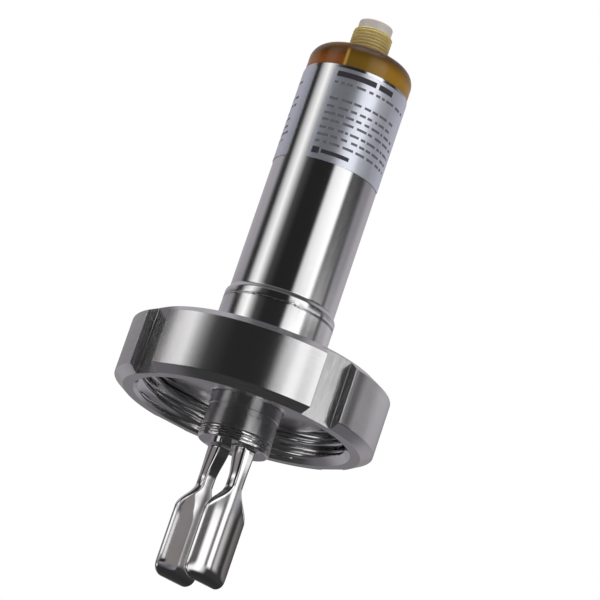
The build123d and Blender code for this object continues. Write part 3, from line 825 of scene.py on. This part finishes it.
def nut_outline():
    """The nut's section from the thread's mouth round the outside and back down its bore."""
    low = NUT_BOTTOM + THREAD_START
    rows = [low + (NUT_SEAT - low) * row / THREAD_ROWS for row in range(THREAD_ROWS + 1)]
    return [
        (NUT_BORE_R + THREAD_DEPTH, NUT_BOTTOM),
        (NUT_FOOT_R, NUT_BOTTOM),
        (NUT_OUTER_R, NUT_BOTTOM + NUT_FOOT_CHAMFER),
        (NUT_OUTER_R, NUT_TOP - NUT_CROWN_CHAMFER),
        (NUT_CROWN_R, NUT_TOP),
        (NUT_HOLE_R + NUT_HOLE_CHAMFER, NUT_TOP),
        (NUT_HOLE_R, NUT_TOP - NUT_HOLE_CHAMFER),
        (NUT_HOLE_R, NUT_SEAT),
        *((NUT_BORE_R, height) for height in reversed(rows)),
    ]


def build_nut():
    shape = bmesh.new()
    spin_outline(shape, nut_outline(), [(number, NUT_EDGE) for number in NUT_EDGE_POINTS], NUT_STEPS)
    move_wall(shape, NUT_BORE_R, NUT_BOTTOM + NEAR, bore_radius)
    bmesh.ops.recalc_face_normals(shape, faces=shape.faces)
    shape = cut_slots(shape)
    mark_slots(shape)
    mark_thread(shape)
    deburr(shape)
    bmesh.ops.rotate(shape, verts=shape.verts, cent=(0, 0, 0), matrix=Matrix.Rotation(SLOT_TURN, 3, "Z"))
    nut_steel = steel(
        "turned_nut_steel", tone=0.82, roughness=0.2, lines=(150, 150, 5000), depth=0.3, turned=0.7
    )
    slot_steel = steel(
        "milled_slot_steel", tone=0.98, roughness=0.19, lines=(2600, 2600, 200), depth=2.0, contrast=0.4
    )
    thread_steel = steel("cut_thread_steel", tone=0.86, roughness=0.13, lines=(300, 300, 2500), depth=0.1)
    others = (slot_steel, thread_steel)
    piece = add_piece("union_nut_threaded", shape, "nut", nut_steel, TURNED_SHARP, others)
    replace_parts(piece, "union_nut")


build_nut()


# The housing is a drawn stainless tube with a thicker foot, welded all round onto the collar.
# The weld is a low uneven bead, with one blob where the welder stopped. The cap closes its mouth.
TUBE_R = 15.8
TUBE_BORE_R = 14.6
TUBE_TOP = 101.0
FOOT_TOP = 29.5
FOOT_SLOPE = 0.9
FOOT_ROUNDING = 0.5
MOUTH_EDGE = 0.1
BEAD_TOP = 27.5
BEAD_RISE = 0.07
# The bead's section: shares of its rise, and heights.
BEAD_FORM = (
    (-0.12, COLLAR_TOP), (0.3, 26.86), (1, 26.96), (0.9, 27.06), (-0.2, 27.16), (-1.4, 27.24),
    (-0.6, 27.34), (0, BEAD_TOP),
)
BEAD_DEPTH = 0.5
BEAD_MARGIN = 0.05
BEAD_WAVE = (1.1, 0.16)
BEAD_RIPPLE = (2.6, 0.4, 1.4)
BLOB_TURN = math.radians(-112)
BLOB_HEIGHT = 27.1
BLOB_SIZE = 0.45
BLOB_RISE = 0.16


def ripple_bead(shape):
    """Makes the bead wave up and down and ripple in and out."""
    wave_scale, wave_height = BEAD_WAVE
    ripple_scale, least, spread = BEAD_RIPPLE
    blob = Vector((math.cos(BLOB_TURN), math.sin(BLOB_TURN))) * COLLAR_R
    for vert in shape.verts:
        x, y, z = vert.co / MM
        radius = math.hypot(x, y)
        if radius < COLLAR_R - BEAD_DEPTH or z > BEAD_TOP - BEAD_MARGIN:
            continue
        wave = noise.noise(Vector((x * wave_scale, y * wave_scale, 0)))
        ripple = noise.noise(Vector((x * ripple_scale, y * ripple_scale, z)))
        from_blob = math.hypot((Vector((x, y)) - blob).length, z - BLOB_HEIGHT) / BLOB_SIZE
        rise = (radius - COLLAR_R) * (least + spread * abs(ripple))
        rise += BLOB_RISE * math.exp(-from_blob * from_blob)
        stretch = (COLLAR_R + rise) / radius
        vert.co = (x * stretch * MM, y * stretch * MM, (z + wave_height * wave) * MM)


def build_tube():
    shape = bmesh.new()
    outline = (
        (TUBE_BORE_R, COLLAR_TOP),
        *((COLLAR_R + BEAD_RISE * rise, z) for rise, z in BEAD_FORM),
        (COLLAR_R, FOOT_TOP),
        (TUBE_R, FOOT_TOP + FOOT_SLOPE),
        (TUBE_R, TUBE_TOP),
        (TUBE_BORE_R, TUBE_TOP),
    )
    foot = len(BEAD_FORM) + 1
    sizes = (FOOT_ROUNDING, FOOT_ROUNDING, MOUTH_EDGE, MOUTH_EDGE)
    spin_outline(shape, outline, list(enumerate(sizes, foot)), NUT_STEPS)
    ripple_bead(shape)
    tube_steel = steel(
        "drawn_tube_steel", tone=0.78, roughness=0.12, lines=(120, 120, 9000), depth=0.1, turned=0.3
    )
    piece = add_piece("housing", shape, "sensor", tube_steel, TURNED_SHARP)
    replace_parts(piece, "housing_tube")


build_tube()


# The cap is moulded in translucent amber plastic, with a domed shoulder and a threaded nozzle.
# Its hollow skirt sits in the tube's mouth and carries the seal's groove. Its colour is gold,
# lighter to one side and turning brown towards the top, with a lighter gold nozzle where it is thin.
# On one side an orange glow is painted in, a painted light that stands for light through the plastic,
# with darker brown round it, and a bright upright streak on the wall is a painted reflection.
CAP_R = 15.7
CAP_TOP = 109.7
CAP_ROOF = 107.7
CAP_DOME_R = 4.8
CAP_RIM = 0.15
DOME_STEPS = 16
SKIRT_R = 14.5
SKIRT_BORE_R = 11.6
SKIRT_END = 93.0
GROOVE_R = 12.75
GROOVE_LOW = 95.85
GROOVE_HIGH = 98.15
PLUG_R = 6.0
PLUG_LIP_R = 5.45
PLUG_TOP = 118.3
PLUG_CHAMFER = 0.5
PLUG_BORE_R = 5.2
PLUG_PITCH = 1.0
PLUG_THREAD_DEPTH = 0.6
PLUG_THREAD_START = 0.5
PLUG_LEAD_IN = 0.5
CREST_FLAT = 0.12
PLUG_ROWS = 98
PLUG_ROW_START = 0.1
CAP_STEPS = 160
# The painted glow and painted reflection lie about a middle line turned this far about the axis.
PAINT_TURN = math.radians(37.0)
FLOW_SCALE = 170
FLOW_DETAIL = 2
AMBER_LOOKS = {
    "IOR": 1.49,
    "Specular IOR Level": 0.3,
    "Subsurface Weight": 0.3,
    "Subsurface Scale": 0.003,
    "Subsurface Radius": (1.0, 0.55, 0.15),
}
AMBER_ROUGHNESS = (0.14, 0.24)
CAP_AND_NOZZLE_CLEARNESS = (0.35, 0.1)
GOLD = ((0.30, 0.17, 0.022), (0.56, 0.30, 0.032))
GOLD_ACROSS = (-2.0, 9.0)
BROWN = ((0.034, 0.011, 0.0015), (0.09, 0.032, 0.005))
BROWN_HEIGHTS = (TUBE_TOP + 2.5, CAP_TOP - 1.6)
# On the glow's side the colour is darker brown; over it, low down, the orange is a painted glow that stands
# for light through the plastic.
GLOW_SIDE_BROWN = (0.15, 0.065, 0.01)
PAINTED_GLOW_ORANGE = (0.72, 0.19, 0.015)
GLOW_SIDE_ACROSS = (-3.5, -7.0)
GLOW_SIDE_EDGE = (-14.5, -12.0)
ORANGE_HEIGHTS = (TUBE_TOP + 5.5, TUBE_TOP + 0.5)
# The streak is a painted reflection: a bright upright band painted on the cap's wall.
PAINTED_REFLECTION_STREAK = (0.78, 0.50, 0.12)
STREAK_LEFT = (-5.9, -5.3)
STREAK_RIGHT = (-4.5, -5.1)
STREAK_HEIGHTS = (CAP_TOP - 2.5, TUBE_TOP + 4)
NOZZLE = ((0.68, 0.47, 0.14), (1.0, 0.82, 0.46))
NOZZLE_HEIGHTS = (CAP_TOP - 0.9, CAP_TOP + 0.3)
NOZZLE_RADII = (PLUG_R + 1.0, PLUG_R + 0.2)


def plug_radius(height, angle):
    """Radius of the plug's thread at a height and an angle, in millimetres."""
    phase = (height - CAP_TOP) / PLUG_PITCH - angle / math.tau
    saw = abs(2 * (phase - math.floor(phase)) - 1)
    wave = min(max((saw - CREST_FLAT) / (1 - 2 * CREST_FLAT), 0), 1)
    fade_in = ease(0, 1, (height - CAP_TOP - PLUG_THREAD_START) / PLUG_LEAD_IN)
    chamfer = PLUG_LIP_R + max(PLUG_TOP - height, 0) * (PLUG_R - PLUG_LIP_R) / PLUG_CHAMFER
    return min(PLUG_R - PLUG_THREAD_DEPTH * (1 - wave) * fade_in, chamfer)


def fade(tree, value, limits):
    """Goes smoothly from 0 to 1 between two limits in millimetres."""
    return ranged(tree, value, [limit * MM for limit in limits], smooth=True)


def product(tree, first, *others):
    """The product of factors."""
    for other in others:
        times = tree.nodes.new("ShaderNodeMath")
        times.operation = "MULTIPLY"
        tree.links.new(first, times.inputs[0])
        tree.links.new(other, times.inputs[1])
        first = times.outputs["Value"]
    return first


def cap_places(tree):
    """Distance across from the middle line of the painted glow and painted reflection, height, and radius,
    each as a socket.
    """
    nodes = tree.nodes
    place = nodes.new("ShaderNodeTexCoord").outputs["Object"]
    turn = nodes.new("ShaderNodeMapping")
    turn.inputs["Rotation"].default_value = (0, 0, PAINT_TURN)
    split = nodes.new("ShaderNodeSeparateXYZ")
    level = nodes.new("ShaderNodeVectorMath")
    level.operation = "MULTIPLY"
    level.inputs[1].default_value = (1, 1, 0)
    radius = nodes.new("ShaderNodeVectorMath")
    radius.operation = "LENGTH"
    tree.links.new(place, turn.inputs["Vector"])
    tree.links.new(turn.outputs["Vector"], split.inputs["Vector"])
    tree.links.new(place, level.inputs[0])
    tree.links.new(level.outputs["Vector"], radius.inputs[0])
    return split.outputs["X"], split.outputs["Z"], radius.outputs["Value"]


def amber_plastic():
    material, tree, shader = new_finish("amber_plastic", AMBER_LOOKS)
    across, height, radius = cap_places(tree)
    flow = own_noise(tree, FLOW_SCALE, FLOW_DETAIL)
    clearness = ranged(tree, height, [limit * MM for limit in NOZZLE_HEIGHTS], CAP_AND_NOZZLE_CLEARNESS)
    tree.links.new(clearness, shader.inputs["Transmission Weight"])
    gold = blend(tree, fade(tree, across, GOLD_ACROSS), *GOLD)
    brown = blend(tree, flow, *BROWN)
    body = blend(tree, fade(tree, height, BROWN_HEIGHTS), gold, brown)
    # Painted light: darker brown on one side, with an orange painted glow over it low down.
    glow_side = fade(tree, across, GLOW_SIDE_ACROSS)
    body = blend(tree, product(tree, glow_side, fade(tree, across, GLOW_SIDE_EDGE)), body, GLOW_SIDE_BROWN)
    body = blend(tree, product(tree, glow_side, fade(tree, height, ORANGE_HEIGHTS), flow), body, PAINTED_GLOW_ORANGE)
    # Painted reflection: a bright upright streak in the base colour.
    reflection_streak = product(tree, *(fade(tree, across, limits) for limits in (STREAK_LEFT, STREAK_RIGHT)))
    body = blend(tree, product(tree, reflection_streak, fade(tree, height, STREAK_HEIGHTS)), body, PAINTED_REFLECTION_STREAK)
    nozzle = product(tree, fade(tree, radius, NOZZLE_RADII), fade(tree, height, NOZZLE_HEIGHTS))
    body = blend(tree, nozzle, body, blend(tree, flow, *NOZZLE))
    tree.links.new(body, shader.inputs["Base Color"])
    tree.links.new(ranged(tree, flow, results=AMBER_ROUGHNESS), shader.inputs["Roughness"])
    return material


def cap_outline():
    """The cap's section from its roof down inside the skirt, up the outside and over the nozzle."""
    low = CAP_TOP + PLUG_ROW_START
    rows = [low + (PLUG_TOP - low) * row / PLUG_ROWS for row in range(PLUG_ROWS + 1)]
    turns = [math.pi / 2 * step / DOME_STEPS for step in range(DOME_STEPS + 1)]
    return [
        (PLUG_BORE_R, CAP_ROOF),
        (SKIRT_BORE_R, CAP_ROOF),
        (SKIRT_BORE_R, SKIRT_END),
        (SKIRT_R, SKIRT_END),
        (SKIRT_R, GROOVE_LOW),
        (GROOVE_R, GROOVE_LOW),
        (GROOVE_R, GROOVE_HIGH),
        (SKIRT_R, GROOVE_HIGH),
        (SKIRT_R, TUBE_TOP),
        (CAP_R - CAP_RIM, TUBE_TOP),
        (CAP_R, TUBE_TOP + CAP_RIM),
        *((CAP_R - CAP_DOME_R * (1 - math.cos(t)), CAP_TOP - CAP_DOME_R * (1 - math.sin(t))) for t in turns),
        (PLUG_R, CAP_TOP),
        *((PLUG_R, height) for height in rows),
        (PLUG_BORE_R, PLUG_TOP),
    ]


def build_cap():
    shape = bmesh.new()
    spin_outline(shape, cap_outline(), steps=CAP_STEPS)
    move_wall(shape, PLUG_R, CAP_TOP + PLUG_ROW_START / 2, plug_radius)
    piece = add_piece("plug_cap", shape, "sensor", amber_plastic(), sharp_degrees=40)
    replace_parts(piece, "connector_cap")


build_cap()


# The contact insert is a pale moulded sleeve in the nozzle, with a coding key in its well.
# Four gold-plated brass pins, soldered in the contact board, stand in the well.
INSERT_R = 5.15
WELL_R = 4.25
INSERT_FOOT_R = 7.5
INSERT_FOOT = 105.7
INSERT_TOP = 121.2
WELL_FLOOR = 112.5
# Each rounding is the number of its outline point and its size.
INSERT_EDGES = ((4, 0.4), (5, 0.4), (6, 0.2))
INSERT_STEPS = 128
KEY_SIZE = (0.7, 1.4)
KEY_DROP = 1
PIN_COUNT = 4
PIN_R = 0.5
PIN_RING_R = 2.75
PIN_LOW = 93.8
PIN_TOP = 119.5
PIN_CHAMFER = 0.1
PIN_NOSE = ((PIN_R, 0.45), (0.42, 0.2), (0.25, 0.04), (0, 0))
PIN_STEPS = 24
GRAIN_DETAIL = 5
GRAIN_RELIEF = 0.0001


def moulded(name, dark, light, roughness, grain=220, depth=0.05, looks=()):
    """A moulded or pressed material with faint clouds of colour and a fine grain."""
    material, tree, shader = new_finish(name, dict(looks))
    clouds = own_noise(tree, grain, GRAIN_DETAIL)
    tree.links.new(blend(tree, clouds, dark, light), shader.inputs["Base Color"])
    shade = ranged(tree, clouds, results=(roughness * SMOOTHEST, min(roughness * ROUGHEST, 1)))
    tree.links.new(shade, shader.inputs["Roughness"])
    add_grain(tree, shader, clouds, depth, GRAIN_RELIEF)
    return material


def build_insert():
    shape = bmesh.new()
    outline = (
        (0, INSERT_FOOT),
        (INSERT_FOOT_R, INSERT_FOOT),
        (INSERT_FOOT_R, CAP_ROOF),
        (INSERT_R, CAP_ROOF),
        (INSERT_R, INSERT_TOP),
        (WELL_R, INSERT_TOP),
        (WELL_R, WELL_FLOOR),
        (0, WELL_FLOOR),
    )
    spin_outline(shape, outline, INSERT_EDGES, INSERT_STEPS)
    key = bmesh.ops.create_cube(shape, size=1)["verts"]
    key_height = INSERT_TOP - WELL_FLOOR - KEY_DROP
    bmesh.ops.scale(shape, verts=key, vec=(KEY_SIZE[0] * MM, KEY_SIZE[1] * MM, key_height * MM))
    spot = ((WELL_R - KEY_SIZE[0] / 4) * MM, 0, (WELL_FLOOR + key_height / 2) * MM)
    bmesh.ops.translate(shape, verts=key, vec=spot)
    soft = {"Subsurface Weight": 0.3, "Subsurface Scale": 0.0015}
    pale = moulded("pale_insert_plastic", (0.62, 0.59, 0.55), (0.76, 0.74, 0.71), 0.38, looks=soft)
    piece = add_piece("contact_sleeve", shape, "sensor", pale, sharp_degrees=40)
    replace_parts(piece, "contact_insert")


def build_pins():
    gold_colours = ((0.78, 0.53, 0.2), (0.92, 0.68, 0.3))
    gold = bare_metal("gold_plated_brass", gold_colours, 0.22, lines=(900, 900, 900), depth=0.05)
    foot = ((0, PIN_LOW), (PIN_R - PIN_CHAMFER, PIN_LOW), (PIN_R, PIN_LOW + PIN_CHAMFER))
    nose = ((radius, PIN_TOP - drop) for radius, drop in PIN_NOSE)
    outline = (*foot, *nose)
    for number in range(PIN_COUNT):
        shape = bmesh.new()
        spin_outline(shape, outline, steps=PIN_STEPS)
        turn = math.tau * (number + 0.5) / PIN_COUNT
        spot = (PIN_RING_R * math.cos(turn) * MM, PIN_RING_R * math.sin(turn) * MM, 0)
        bmesh.ops.translate(shape, verts=shape.verts, vec=spot)
        piece = add_piece(f"plug_pin_{number + 1}", shape, "sensor", gold, sharp_degrees=40)
        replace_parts(piece, f"contact_pin_{number + 1}")


build_insert()
build_pins()


# The seal between the cap's skirt and the tube is an O-ring of black nitrile rubber.
# It is moulded with a satin skin and lies squeezed in the skirt's groove.
def dress(names, material):
    """Gives CAD nodes their finish."""
    for name in names:
        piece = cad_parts[name]
        piece.data.materials.clear()
        piece.data.materials.append(material)


seal_rubber = moulded("seal_rubber", (0.012, 0.012, 0.012), (0.03, 0.03, 0.03), 0.55, grain=900, depth=0.2)
dress(["cap_seal"], seal_rubber)


# The rating and side labels are thin silver foil stickers that follow the tube.
# They carry rows of plain bars in dark and grey ink, with no letters.
LABEL_R = TUBE_R + 0.05
LABEL_T = 0.15
LABEL_LOW = 71.0
LABEL_HIGH = 100.0
LABEL_CORNER = 0.6
LABEL_STEP = 0.5
INK_T = 0.02
INK_R = LABEL_R + LABEL_T
RATING_ARC = 31.0
RATING_TURN = math.radians(-98.5)
SIDE_ARC = 20.0
SIDE_TURN = math.radians(145.0)
# Bars are (start, end) along the arc, and rows are (middle height, half height).
HEADING_ROWS = (
    ((98.0, 0.85), ((1.2, 13.4), (14.4, 19.6))),
    ((73.6, 1.0), ((1.2, 3.4),)),
    ((73.6, 0.6), ((4.0, 12.6),)),
)
SMALL_ROWS = (95.3, 90.2, 87.7, 85.5, 83.4, 80.9, 78.7, 76.5)
SMALL_H = 0.75
ROW_MARGIN = 1.2
# Lengths that vary are (least, spread).
ROW_END = (2.5, 6)
BAR_LENGTH = (0.8, 2.6)
BAR_GAP = (0.5, 0.8)
BAR_OVERRUN = 0.6
FOIL_COLOURS = ((0.80, 0.83, 0.94), (0.88, 0.91, 1.0))
FOIL_ROUGHNESS = (0.27, 0.33)
FOIL_GRAIN = 700
FOIL_DETAIL = 4
FOIL_RELIEF = 0.00005
FOIL_MOTTLE = 0.015


def foil():
    material, tree, shader = new_finish("label_foil", {"Metallic": 0.8})
    mottle = own_noise(tree, FOIL_GRAIN, FOIL_DETAIL)
    tree.links.new(blend(tree, mottle, *FOIL_COLOURS), shader.inputs["Base Color"])
    tree.links.new(ranged(tree, mottle, results=FOIL_ROUGHNESS), shader.inputs["Roughness"])
    add_grain(tree, shader, mottle, FOIL_MOTTLE, FOIL_RELIEF)
    return material


def wrapped_plate(shape, bar, radius, thickness, turn, corner=0.0):
    """Adds a thin plate on the tube's surface; bar is (start, end, low, high) in millimetres."""
    start, end, low, high = bar
    made = bmesh.ops.create_grid(shape, x_segments=1, y_segments=1, size=0.5)["verts"]
    bmesh.ops.scale(shape, verts=made, vec=(end - start, high - low, 1))
    bmesh.ops.translate(shape, verts=made, vec=((start + end) / 2, (low + high) / 2, 0))
    if corner:
        made = rounded(shape, made, corner, 4, "VERTICES", clamp=True)["verts"]
    face = made[0].link_faces[0]
    parts = [face] + list(face.edges) + list(face.verts)
    at = start + LABEL_STEP
    while at < end - NEAR:
        cut = bmesh.ops.bisect_plane(shape, geom=parts, plane_co=(at, 0, 0), plane_no=(1, 0, 0))
        parts = cut["geom"]
        at += LABEL_STEP
    faces = [part for part in parts if isinstance(part, bmesh.types.BMFace)]
    top = bmesh.ops.extrude_face_region(shape, geom=faces, use_keep_orig=True)["geom"]
    raised = set(part for part in top if is_vert(part))
    every = raised.union(vert for face in faces for vert in face.verts)
    for vert in every:
        angle = turn + vert.co.x / radius
        reach = (radius + (thickness if vert in raised else 0)) * MM
        vert.co = (reach * math.cos(angle), reach * math.sin(angle), vert.co.y * MM)


def ink_bars(name, arc, turn, bars, ink):
    """Bars on a label, with their places along its arc counted from its left edge."""
    shape = bmesh.new()
    for start, end, low, high in bars:
        wrapped_plate(shape, (start - arc / 2, end - arc / 2, low, high), INK_R, INK_T, turn)
    add_piece(name, shape, "sensor", ink)


def build_label(name, node, arc, turn, seed):
    """A foil label with rows of plain bars of uneven length."""
    shape = bmesh.new()
    wrapped_plate(shape, (-arc / 2, arc / 2, LABEL_LOW, LABEL_HIGH), LABEL_R, LABEL_T, turn, LABEL_CORNER)
    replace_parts(add_piece(name, shape, "sensor", label_foil), node)
    spread = random.Random(seed)
    bars = []
    for row in SMALL_ROWS:
        at = ROW_MARGIN
        last = arc - ROW_END[0] - spread.random() * ROW_END[1]
        while at < last:
            length = BAR_LENGTH[0] + spread.random() * BAR_LENGTH[1]
            bars.append((at, min(at + length, last + BAR_OVERRUN), row - SMALL_H / 2, row + SMALL_H / 2))
            at += length + BAR_GAP[0] + spread.random() * BAR_GAP[1]
    ink_bars(f"{name}_print", arc, turn, bars, grey_ink)


label_foil = foil()
dark_ink = moulded("dark_label_ink", (0.030, 0.030, 0.038), (0.05, 0.05, 0.06), 0.5, grain=1500)
grey_ink = moulded("grey_label_ink", (0.10, 0.10, 0.12), (0.20, 0.20, 0.23), 0.5, grain=1500)
build_label("rating_foil", "rating_label", RATING_ARC, RATING_TURN, seed=4)
build_label("side_foil", "side_label", SIDE_ARC, SIDE_TURN, seed=9)
heading = [(*bar, middle - half, middle + half) for (middle, half), row in HEADING_ROWS for bar in row]
ink_bars("rating_foil_heading", RATING_ARC, RATING_TURN, heading, dark_ink)


# Inside, the drive stack is clamped in the neck: steel pressure piece, white ceramic insulators,
# pale piezo discs with brass electrodes between them, and the screw that holds them down.
stack_steel = steel("stack_steel", tone=0.66, roughness=0.25, lines=(300, 300, 5000), depth=0.2)
dress(["pressure_piece", "clamp_screw"], stack_steel)
white_ceramic = moulded("white_ceramic", (0.8, 0.79, 0.75), (0.9, 0.89, 0.87), 0.35, grain=1200, depth=0.1)
dress(["lower_insulator", "upper_insulator"], white_ceramic)
piezo_ceramic = moulded("piezo_ceramic", (0.5, 0.45, 0.35), (0.64, 0.59, 0.48), 0.6, grain=1800, depth=0.25)
dress([f"piezo_disc_{number}" for number in range(1, 5)], piezo_ceramic)
brass_colours = ((0.68, 0.5, 0.2), (0.82, 0.64, 0.3))
electrode_brass = bare_metal("electrode_brass", brass_colours, 0.3, lines=(400, 400, 400), depth=0.1)
dress([f"electrode_{number}" for number in range(1, 4)], electrode_brass)


# The leads carry the drive's signals from the electrodes up to the boards.
# They are thin stranded wires, insulated with red fluoropolymer and soldered at both ends.
wire_red = ((0.42, 0.03, 0.025), (0.55, 0.06, 0.045))
red_insulation = moulded("red_insulation", *wire_red, 0.38, grain=600, depth=0.1)
dress([f"drive_lead_{number}" for number in range(1, 4)], red_insulation)


# The carrier is moulded in black plastic, and the chips are potted in black resin.
# The boards are green glass laminate with copper tracks under their lacquer.
# The capacitor is an aluminium can, and the inductor has a pressed ferrite core.
LAMINATE_COLOURS = {
    "Color1": (0.012, 0.10, 0.045, 1),
    "Color2": (0.018, 0.13, 0.06, 1),
    "Mortar": (0.05, 0.22, 0.10, 1),
}
TRACK_SCALE = 160
TRACK_WIDTH = 0.03
TRACK_RELIEF = 0.00004
TRACK_SHADE = 0.3


def board_laminate():
    """Green boards with a net of slightly raised tracks on their faces."""
    material, tree, shader = new_finish("board_laminate", {"Roughness": 0.32})
    tracks = tree.nodes.new("ShaderNodeTexBrick")
    tracks.inputs["Scale"].default_value = TRACK_SCALE
    tracks.inputs["Mortar Size"].default_value = TRACK_WIDTH
    for socket, colour in LAMINATE_COLOURS.items():
        tracks.inputs[socket].default_value = colour
    upright = tree.nodes.new("ShaderNodeMapping")
    upright.inputs["Rotation"].default_value = (math.pi / 2, 0, 0)
    tree.links.new(tree.nodes.new("ShaderNodeTexCoord").outputs["Object"], upright.inputs["Vector"])
    tree.links.new(upright.outputs["Vector"], tracks.inputs["Vector"])
    tree.links.new(tracks.outputs["Color"], shader.inputs["Base Color"])
    add_grain(tree, shader, tracks.outputs["Fac"], TRACK_SHADE, TRACK_RELIEF)
    return material


blacks = ((0.015, 0.015, 0.017), (0.035, 0.035, 0.038))
black_plastic = moulded("black_plastic", *blacks, 0.5, grain=1400, depth=0.25)
dress(["board_carrier", "controller_chip", "output_chip"], black_plastic)
dress(["main_board", "contact_board"], board_laminate())
can_aluminium = steel("can_aluminium", tone=0.82, roughness=0.28, lines=(600, 600, 600), depth=0.1)
dress(["capacitor"], can_aluminium)
ferrite = moulded("ferrite", (0.03, 0.03, 0.033), (0.07, 0.07, 0.075), 0.6, grain=1600, depth=0.3)
dress(["inductor"], ferrite)


# The lamps are light-emitting diodes in tinted resin, soldered to the contact board under the cap.
# The red one is lit and the green one is dark.
RED = ((0.6, 0.02, 0.01), (0.8, 0.05, 0.03))
GREEN = ((0.02, 0.3, 0.04), (0.05, 0.5, 0.1))


def lamp(name, colours, glow):
    looks = {"Transmission Weight": 0.35, "Emission Color": (*colours[1], 1), "Emission Strength": glow}
    return moulded(name, *colours, 0.12, grain=500, depth=0.02, looks=looks)


dress(["status_lamp_1"], lamp("red_lamp", RED, 1.2))
dress(["status_lamp_2"], lamp("green_lamp", GREEN, 0.0))
